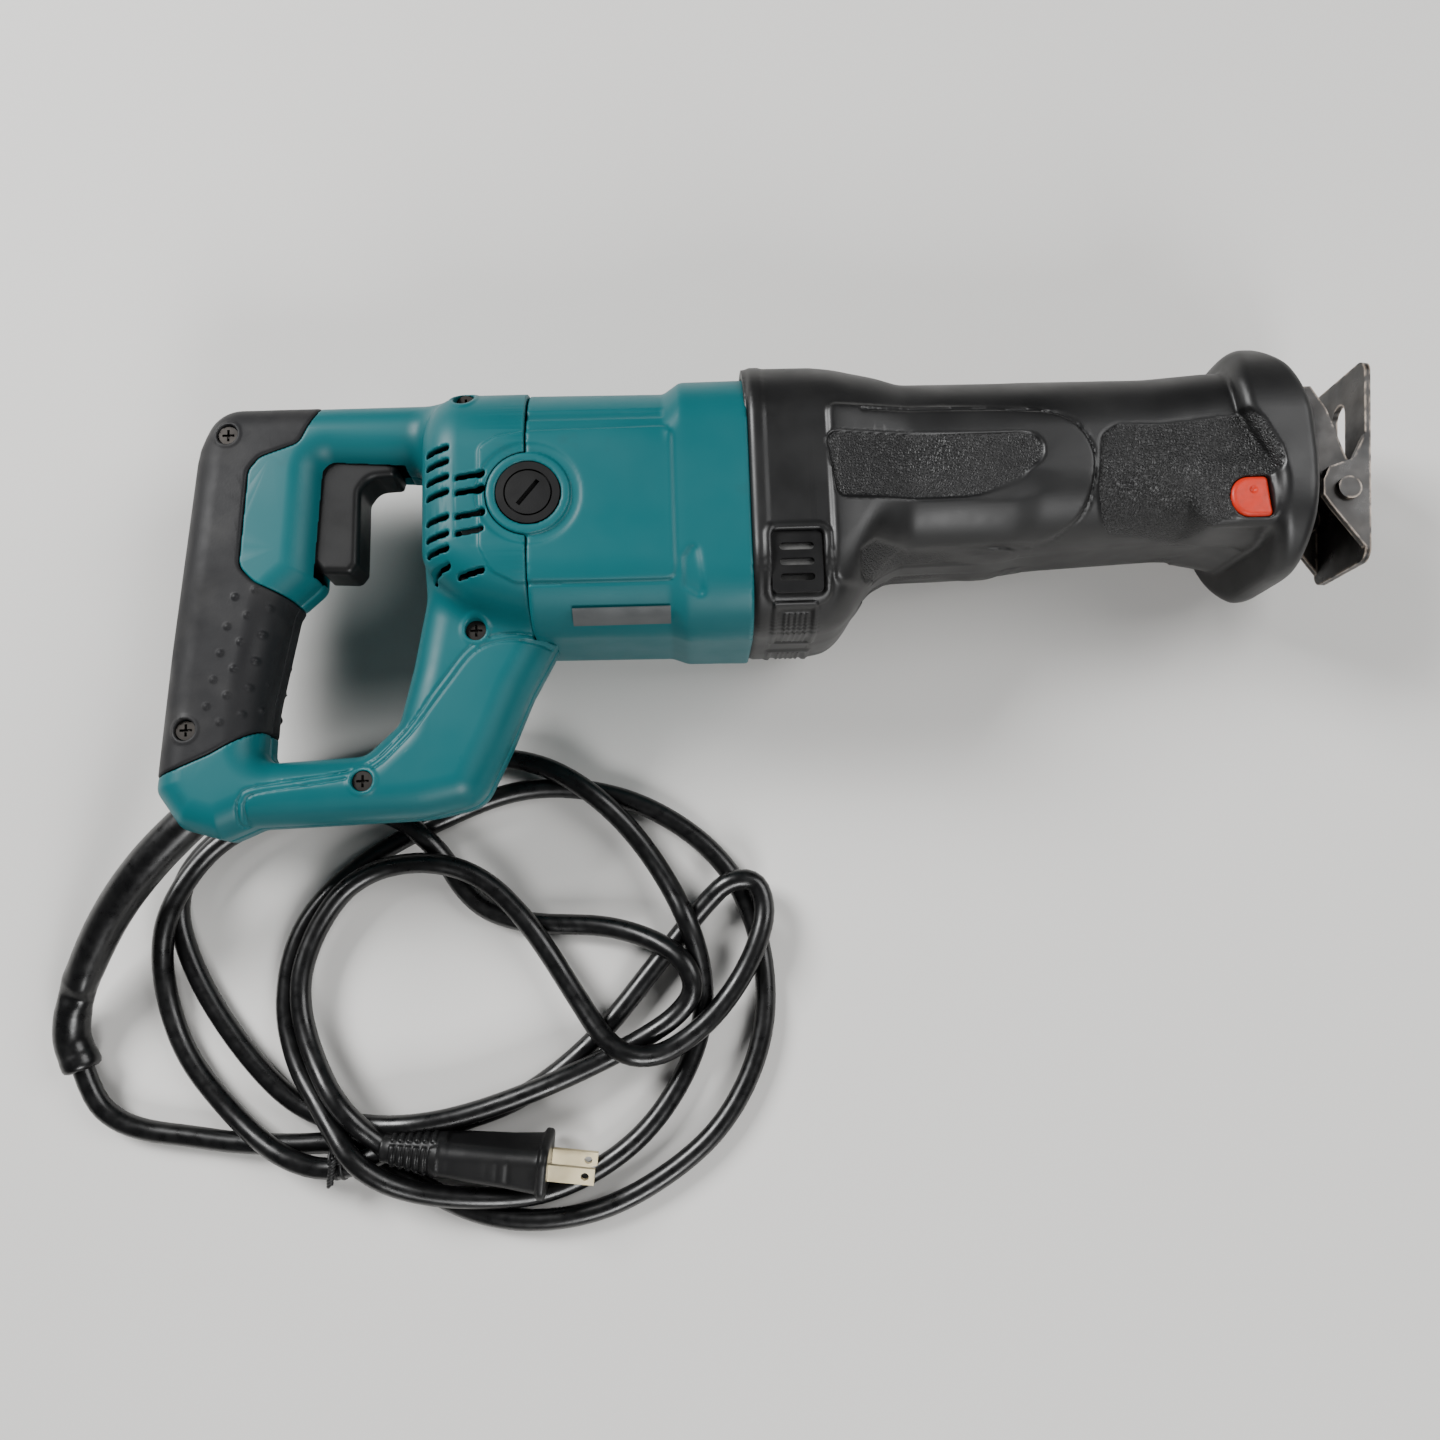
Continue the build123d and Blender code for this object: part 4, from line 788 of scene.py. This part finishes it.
def grain_share(x, y, z):
    """1 inside the boot's grained panels and 0 outside."""
    nearest = np.min([area(outline, radii, x, y) for outline, radii, _ in PANELS], axis=0)
    return np.clip(-nearest / GRAIN_FADE, 0, 1) * (np.abs(z - MID_Z) > LINE)


def mark(piece, name, rule):
    """Keeps a number on each point for the material, from its place in mm."""
    places = np.zeros(len(piece.data.vertices) * 3, np.float32)
    piece.data.vertices.foreach_get("co", places)
    x, y, z = places.reshape(-1, 3).T / MM
    values = np.asarray(rule(x, y, z), np.float32)
    piece.data.attributes.new(name, "FLOAT", "POINT").data.foreach_set("value", values)


TRIGGER = [
    (-177, 16), (-169, 12.5), (-166, 9), (-155.5, 8.5), (-153, 12), (-152.5, 40), (-149, 45), (-140, 45.5),
    (-139, 49.5), (-144, 53), (-169, 53.8), (-177, 46),
]
TRIGGER_RADII = [2, 3, 1, 3, 1.5, 4, 6, 1.5, 1.5, 4, 3, 2]


def add_trigger():
    grid = Grid((-180, 6, MID_Z - 12), (-136, 56.5, MID_Z + 12), 0.45)
    flat = area(TRIGGER, TRIGGER_RADII, grid.x, grid.y)
    body = with_edge(flat, np.abs(grid.z - MID_Z) - 10, 2.6)
    return grid.surface("trigger_shell", body, keep=0.5)


def add_button():
    """The red shoe button, its stem, and the small dimple in its face."""
    middle_x, middle_y = BUTTON_SPOT
    grid = Grid((middle_x - 9, middle_y - 9, 8), (middle_x + 9, middle_y + 9, 88), 0.4)
    x, y, z = grid.x - middle_x, grid.y - middle_y, grid.z - MID_Z
    depth = np.abs(z)
    head = both(with_edge(area(*BUTTON_SHAPE, x, y), z - BUTTON_TOP, 1.6), FACE - depth)
    stem = both(np.hypot(x, y) - 3.0, depth - 33)
    body = np.minimum(both(head, -z), stem)
    dimple = np.sqrt((x - 0.5) ** 2 + (y - 2.2) ** 2 + (z - 38.5) ** 2) - 1.2
    return grid.surface("button_shell", smooth_max(body, -dimple, 0.3), keep=0.6)


# ---- guard, tie and plug ----
GUARD = [(-200, -66, 44), (-206, -71, 44), (-230, -92, 38), (-249, -112, 27), (-264, -136, 15.5),
         (-269.3, -154.4, 9.1), (-265.0, -168.0, 7.5)]
PINCH = 0.775  # share of the guard's length
# Share of the length and radius in mm: a sleeve, the pinch before its end, and the cup.
GUARD_PROFILE = [(0, 7.3), (0.3, 7.3), (0.6, 7.0), (0.74, 6.6), (PINCH, 5.7), (0.80, 6.2), (0.83, 6.6),
                 (0.95, 6.75), (0.965, 7.05), (0.985, 7.1), (0.995, 6.6), (1.0, 5.2)]


def frames(line):
    """Two directions across a line at each of its points, turning as little as they can."""
    heading = np.gradient(line, axis=0)
    heading /= np.linalg.norm(heading, axis=1)[:, None]
    side = np.cross(heading[0], (0, 0, 1.0))
    sides = []
    for way in heading:
        side = side - way * (side @ way)
        side = side / np.linalg.norm(side)
        sides.append(side)
    sides = np.array(sides)
    return sides, np.cross(heading, sides)


def tube_mesh(name, line, radii, around=28, ripple=None):
    """A closed tube along a line, mm, with a radius at each point."""
    side, up = frames(line)
    angles = np.linspace(0, 2 * pi, around, endpoint=False)
    rings = []
    for index, (centre, radius) in enumerate(zip(line, radii)):
        size = radius + (ripple(index / (len(line) - 1), angles) if ripple else 0 * angles)
        rings.append(centre + size[:, None] * (np.cos(angles)[:, None] * side[index] +
                                               np.sin(angles)[:, None] * up[index]))
    corners = np.vstack(rings) * MM
    faces = []
    for ring in range(len(line) - 1):
        for turn in range(around):
            a, b = ring * around + turn, ring * around + (turn + 1) % around
            faces.append((a, b, b + around, a + around))
    faces.append(tuple(range(around))[::-1])
    faces.append(tuple(range((len(line) - 1) * around, len(line) * around)))
    mesh = bpy.data.meshes.new(name)
    mesh.from_pydata(corners.tolist(), [], faces)
    edit = bmesh.new()
    edit.from_mesh(mesh)
    bmesh.ops.recalc_face_normals(edit, faces=edit.faces)
    edit.to_mesh(mesh)
    made = bpy.data.objects.new(name, mesh)
    bpy.context.collection.objects.link(made)
    mesh.shade_smooth()
    return made


def add_guard():
    """The long rubber sleeve where the cord leaves the handle."""
    line = curve_through(GUARD, 0.7)
    share = np.linspace(0, 1, len(line))
    radii = np.interp(share, *np.array(GUARD_PROFILE).T)

    def ripple(at, angles):
        crease = np.exp(-((at - PINCH) / 0.022) ** 2) * 0.7 * np.cos(2 * angles + 0.6)
        dent = np.exp(-((at - 0.735) / 0.03) ** 2) * 0.35 * np.cos(3 * angles + 1.0)
        return crease + dent + 0.08 * np.sin(9 * at + 2 * angles)

    return tube_mesh("guard_sleeve", line, radii, ripple=ripple)


TIE_X, TIE_Y, TIE_Z = -168.0, -199, 9.0  # where the wire goes round the turns
TIE_WIRE_R = 0.75
TIE_TURNS = 2
KNOT = np.array((-167.5, -200.0, 17.0))  # on top, where its ends are twisted


def squarish(value):
    """A sine or cosine made fuller, so that the ring they draw is nearly a rectangle."""
    return np.sign(value) * abs(value) ** 0.7


def add_tie():
    """A thin wire wound round the gathered turns, with two short twisted ends and a knot."""
    turns = []
    for turn in range(TIE_TURNS):
        for angle in np.linspace(0, 2 * pi, 20, endpoint=False):
            x = TIE_X - 2.2 + 2.6 * (turn + angle / (2 * pi))
            y, z = TIE_Y + 11.6 * squarish(np.cos(angle)), TIE_Z + 7.6 * squarish(np.sin(angle))
            turns.append((x, y, z))
    lines = [curve_through(turns, 0.8)]
    for phase in (0, pi):
        tail = []
        for t in np.linspace(0, 1, 40):
            middle = KNOT + np.array((-1.0 - 3 * t, -3 - 10 * t, 0.6 + 1.5 * np.sin(pi * t) - 6.0 * t))
            c, s = np.cos(8 * pi * t + phase), np.sin(8 * pi * t + phase)
            tail.append(middle + 0.8 * (1 - 0.3 * t) * np.array((c, 0.3 * c, s)))
        lines.append(np.array(tail))
    for start in (-2.0, 1.2):
        knot = [KNOT + (start + 0.9 * np.cos(a), 1.6 * np.sin(a) - 0.5 * a, 0.6 * np.sin(2 * a))
                for a in np.linspace(0, 3 * pi, 24)]
        lines.append(np.array(knot))
    wires = []
    for index, line in enumerate(lines):
        wires.append(tube_mesh(f"tie_{index}", line, np.full(len(line), TIE_WIRE_R), around=10))
    with bpy.context.temp_override(active_object=wires[0], selected_editable_objects=wires):
        bpy.ops.object.join()
    wires[0].name = "wire_tie"
    return wires[0]


PLUG_LEAN = radians(18)  # how far the plug has rolled about its own axis
PLUG_FAR = [20, 30, 45, 56.5, 57.5, 61]  # distance along the plug, with its half sizes there
PLUG_HALF_WIDTH = [9.0, 9.8, 10.6, 11.5, 12.9, 12.9]
PLUG_HALF_DEPTH = [6.6, 7.2, 7.7, 8.5, 9.9, 9.9]
PLUG_GRIPS = (-8, -4, 0, 4, 8)


def add_plug():
    """The moulded plug body with its ribbed neck, a rounded form over the CAD plug."""
    grid = Grid((-158, -232, 0), (-82, -186, 30), 0.5)
    side = np.array((-PLUG_WAY[1], PLUG_WAY[0], 0))
    up = side * -sin(PLUG_LEAN) + np.array((0, 0, cos(PLUG_LEAN)))
    at = [place - start for place, start in zip((grid.x, grid.y, grid.z), PLUG_START_MM)]
    axes = (PLUG_WAY, up, np.cross(up, PLUG_WAY))
    far, wide, deep = (sum(p * w for p, w in zip(at, axis)) for axis in axes)
    # a cone with broken rings
    cone_r = np.interp(far, [0, 20], [5.2, 8.2])
    cone = smooth_max(np.hypot(wide, deep) - cone_r, np.abs(far - 10) - 12, 0.4)
    ribs = np.abs(np.mod(far - 1.0, 3.0) - 1.5) - 0.85
    rings = both(both(np.hypot(wide, deep) - cone_r - 0.9, ribs), np.abs(far - 10) - 9.2)
    gap = np.abs(np.mod(np.arctan2(deep, wide), pi / 2) - pi / 4) - 0.12
    rings = smooth_max(rings, -(gap * 6), 0.4)
    # the body, wider at its face, with finger grips in its sides
    half_width = np.interp(far, PLUG_FAR, PLUG_HALF_WIDTH)
    half_depth = np.interp(far, PLUG_FAR, PLUG_HALF_DEPTH)
    body = rounded_box(wide, deep, half_width, half_depth, 5.2)
    body = with_edge(body, both(18.5 - far, far - 60.4), 1.4)
    for shift in PLUG_GRIPS:
        groove = np.hypot(far - 38 - shift, np.abs(wide) - 12.0) - 1.6
        body = smooth_max(body, -groove, 0.5)
    body = smooth_min(smooth_min(cone, rings, 0.4), body, 2.0)
    return grid.surface("plug_shell", both(body, 0.12 - grid.z), keep=0.5)


# ---- the saw's materials ----
def teal_plastic():
    shade = Shade("teal_plastic", roughness=0.4, Specular_IOR_Level=0.28)
    mottle = shade.noise(14.0, 4)
    colour = shade.mix(mottle, (0.0, 0.078, 0.090), (0.001, 0.094, 0.106))
    grime = shade.band(shade.noise(60.0, 6), 0.66, 0.8)
    colour = shade.mix(shade.maths("MULTIPLY", grime, 0.25), colour, (0.012, 0.045, 0.048))
    wear = shade.maths("MULTIPLY", shade.worn(0.0016), shade.band(shade.noise(120.0), 0.35, 0.65))
    shade.colour(shade.mix(shade.maths("MULTIPLY", wear, 0.5), colour, (0.03, 0.17, 0.19)))
    shade.rough(shade.band(shade.noise(40.0, 4), -0.9, 2.2))
    shade.bump(shade.noise(2600.0, 2), 0.06, 0.00006)
    shade.bump(shade.noise(90.0, 2), 0.05, 0.0003)
    return shade.material


def grip_rubber():
    shade = Shade("grip_rubber", roughness=0.62, Specular_IOR_Level=0.22)
    dust = shade.band(shade.noise(55.0, 6), 0.5, 0.8)
    shade.colour(shade.mix(dust, (0.011, 0.011, 0.012), (0.024, 0.0235, 0.0235)))
    shade.rough(shade.band(shade.noise(60.0, 3), -0.6, 1.4))
    shade.bump(shade.noise(1500.0, 3), 0.22, 0.00012)
    return shade.material


def boot_rubber():
    """Smooth moulded rubber, with a leather-like grain where the mesh says."""
    shade = Shade("boot_rubber", roughness=0.31, Specular_IOR_Level=0.45)
    grain = shade.node("Attribute", attribute_name="grain").outputs["Fac"]
    cells = shade.cell_edges(950.0)
    fine = shade.noise(700.0, 3)
    dust = shade.band(shade.noise(30.0, 6), 0.52, 0.8)
    colour = shade.mix(dust, (0.003, 0.003, 0.0032), (0.010, 0.0098, 0.0095))
    pits = shade.maths("MULTIPLY", shade.band(cells, 0.16, 0.02), grain)
    shade.colour(shade.mix(shade.maths("MULTIPLY", pits, 0.7), colour, (0.006, 0.006, 0.006)))
    smooth = shade.band(shade.noise(45.0, 3), -0.7, 2.0)
    shade.rough(shade.maths("ADD", smooth, shade.maths("MULTIPLY", grain, 0.07)))
    height = shade.maths("ADD", shade.band(cells, 0.0, 0.3), shade.maths("MULTIPLY", fine, 0.5))
    shade.bump(shade.maths("MULTIPLY", height, grain), 0.65, 0.00035)
    shade.bump(shade.noise(1100.0, 2), 0.10, 0.0001)
    return shade.material


def plain_black(name, tone, roughness, grain, strength):
    """Black moulding, dusty in places, with a fine surface."""
    shade = Shade(name, roughness=roughness, Specular_IOR_Level=0.27)
    dust = shade.band(shade.noise(45.0, 5), 0.5, 0.85)
    shade.colour(shade.mix(dust, (tone, tone, tone * 1.05), (tone * 2.2, tone * 2.15, tone * 2.1)))
    shade.rough(shade.band(shade.noise(70.0, 3), 0.5 - roughness - 0.9, 1.9 + roughness))
    shade.bump(shade.noise(grain, 2), strength, 0.0001)
    return shade.material


def blackened_steel():
    """Black oxide with bright and brown wear along the edges."""
    shade = Shade("blackened_steel", roughness=0.33, metallic=0.2, Specular_IOR_Level=0.4)
    patch = shade.noise(70.0, 6)
    base = shade.mix(shade.band(patch, 0.35, 0.7), (0.006, 0.0055, 0.0055), (0.026, 0.022, 0.019))
    edge = shade.worn(0.0014)
    chips = shade.maths("MULTIPLY", edge, shade.band(shade.noise(220.0, 4), 0.38, 0.55))
    rusty = shade.mix(shade.noise(150.0, 4), (0.30, 0.22, 0.16), (0.52, 0.46, 0.40))
    shade.colour(shade.mix(chips, base, rusty))
    shade.rough(shade.band(shade.noise(120.0, 5), -0.1, 1.6))
    shade.bump(shade.noise(600.0, 4), 0.10, 0.0001)
    return shade.material


def bare_metal(name, tone, other, roughness, stretch=None, scale=160.0, bump=0.06):
    """Metal in two tones, streaked where stretch says so."""
    shade = Shade(name, roughness=roughness, metallic=1.0)
    streak = shade.noise(scale, 4, stretch)
    shade.colour(shade.mix(streak, tone, other))
    shade.rough(shade.band(shade.noise(scale * 0.8, 4, stretch), -roughness * 3, 2.4 - roughness))
    shade.bump(streak, bump, 0.00008)
    return shade.material


def red_plastic():
    shade = Shade("red_button", roughness=0.38, Specular_IOR_Level=0.3, Subsurface_Weight=0.04)
    scuff = shade.band(shade.noise(300.0, 5), 0.5, 0.75)
    shade.colour(shade.mix(scuff, (0.50, 0.022, 0.007), (0.38, 0.026, 0.012)))
    shade.rough(shade.band(shade.noise(260.0, 3), -0.6, 1.8))
    shade.bump(shade.noise(900.0, 3), 0.12, 0.0001)
    return shade.material


def label_film():
    shade = Shade("label_film", roughness=0.3)
    fade = shade.noise(90.0, 4)
    shade.colour(shade.mix(fade, (0.035, 0.04, 0.042), (0.075, 0.08, 0.082)))
    shade.rough(shade.band(shade.noise(140.0, 3), -0.5, 2.2))
    shade.bump(shade.noise(400.0, 2), 0.05, 0.0001)
    return shade.material


def wound_copper():
    shade = Shade("wound_copper", roughness=0.3, metallic=0.9)
    wire = shade.waves(420.0, 1.5)
    shade.colour(shade.mix(wire, (0.20, 0.045, 0.015), (0.62, 0.20, 0.07)))
    shade.bump(wire, 0.6, 0.0003)
    return shade.material


def stacked_steel():
    shade = Shade("stacked_steel", roughness=0.45, metallic=0.9)
    sheets = shade.waves(320.0)
    shade.colour(shade.mix(sheets, (0.10, 0.10, 0.11), (0.30, 0.30, 0.31)))
    shade.bump(sheets, 0.4, 0.0002)
    return shade.material


def felt_wool():
    shade = Shade("felt_wool", roughness=0.95)
    fibre = shade.noise(900.0, 6, (1, 1, 3))
    shade.colour(shade.mix(fibre, (0.16, 0.15, 0.13), (0.36, 0.34, 0.30)))
    shade.bump(fibre, 0.8, 0.0004)
    return shade.material


# Two tones, roughness, and the stretch, scale and bump of the streaks where they differ.
METALS = {
    "screw_steel": ((0.015, 0.014, 0.014), (0.06, 0.055, 0.05), 0.35),
    # the gear case is darker than its bare cast metal: painted shade, so the case seen through the vent
    # windows reads as the shade inside them
    "cast_case": ((0.10, 0.10, 0.10), (0.19, 0.19, 0.185), 0.5, None, 500.0, 0.3),
    "bearing_steel": ((0.52, 0.52, 0.53), (0.66, 0.66, 0.67), 0.16),
    "shaft_steel": ((0.34, 0.34, 0.35), (0.52, 0.52, 0.53), 0.25, (1, 8, 8)),
    "gear_steel": ((0.26, 0.25, 0.24), (0.42, 0.41, 0.40), 0.32),
    "copper_bar": ((0.62, 0.25, 0.13), (0.78, 0.38, 0.22), 0.25, (1, 6, 6)),
    "brass_tube": ((0.62, 0.45, 0.17), (0.75, 0.58, 0.27), 0.25),
    "plug_brass": ((0.60, 0.50, 0.30), (0.74, 0.66, 0.46), 0.22),
    "carbon": ((0.03, 0.03, 0.03), (0.07, 0.07, 0.07), 0.55, None, 700.0, 0.3),
    "spring_steel": ((0.24, 0.24, 0.25), (0.42, 0.42, 0.43), 0.3),
    "bronze_bush": ((0.42, 0.25, 0.11), (0.58, 0.38, 0.19), 0.35),
    "clamp_steel": ((0.10, 0.10, 0.105), (0.25, 0.25, 0.26), 0.3, (1, 5, 5)),
}


def all_materials():
    """One material for each of the record's slots."""
    made = {slot: bare_metal(slot, *look) for slot, look in METALS.items()}
    made.update({
        "teal_shell": teal_plastic(),
        "black_grip": grip_rubber(),
        "boot_rubber": boot_rubber(),
        "dark_plastic": plain_black("dark_plastic", 0.005, 0.4, 1400.0, 0.12),
        "plug_rubber": plain_black("plug_rubber", 0.006, 0.38, 900.0, 0.15),
        "cord_jacket": cord_material(),
        "tie_wire": plain_black("tie_wire", 0.008, 0.35, 600.0, 0.2),
        "shoe_steel": blackened_steel(),
        "red_button": red_plastic(),
        "label_film": label_film(),
        "laminated_steel": stacked_steel(),
        "enamel_copper": wound_copper(),
        "felt": felt_wool(),
    })
    return made


DARKENED = {"shoe_rivets": "shoe_steel"}  # nodes that look like another slot than their own


def dress(materials):
    """Gives every CAD node the material of its slot."""
    for part in frame["record"]["subparts"]:
        mesh = frame["nodes"][part["node"]].data
        mesh.materials.clear()
        mesh.materials.append(materials[DARKENED.get(part["node"], part["material_slot"])])


def stand_for(piece, node, slot, body="root"):
    """Puts a detailed piece in the place of a CAD node."""
    piece.data.materials.clear()
    piece.data.materials.append(MATERIALS[slot])
    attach(piece, body)
    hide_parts(node)


add_camera()
add_studio()
MATERIALS = all_materials()
dress(MATERIALS)
stand_for(add_tie(), "cord_tie", "tie_wire")
stand_for(add_plug(), "plug_body", "plug_rubber")
add_cord()
stand_for(add_handle_half("right_handle_shell", 1), "right_handle_half", "teal_shell")
stand_for(add_handle_half("left_handle_shell", -1), "left_handle_half", "teal_shell")
stand_for(add_grip_cover("right_grip_rubber", 1), "right_grip_cover", "black_grip")
stand_for(add_grip_cover("left_grip_rubber", -1), "left_grip_cover", "black_grip")
stand_for(add_motor_housing(), "motor_housing", "teal_shell")
stand_for(add_boot(), "rubber_boot", "boot_rubber")
stand_for(add_trigger(), "trigger", "dark_plastic", "switch_trigger")
stand_for(add_button(), "shoe_button", "red_button", "button")
stand_for(add_guard(), "cord_guard", "cord_jacket")
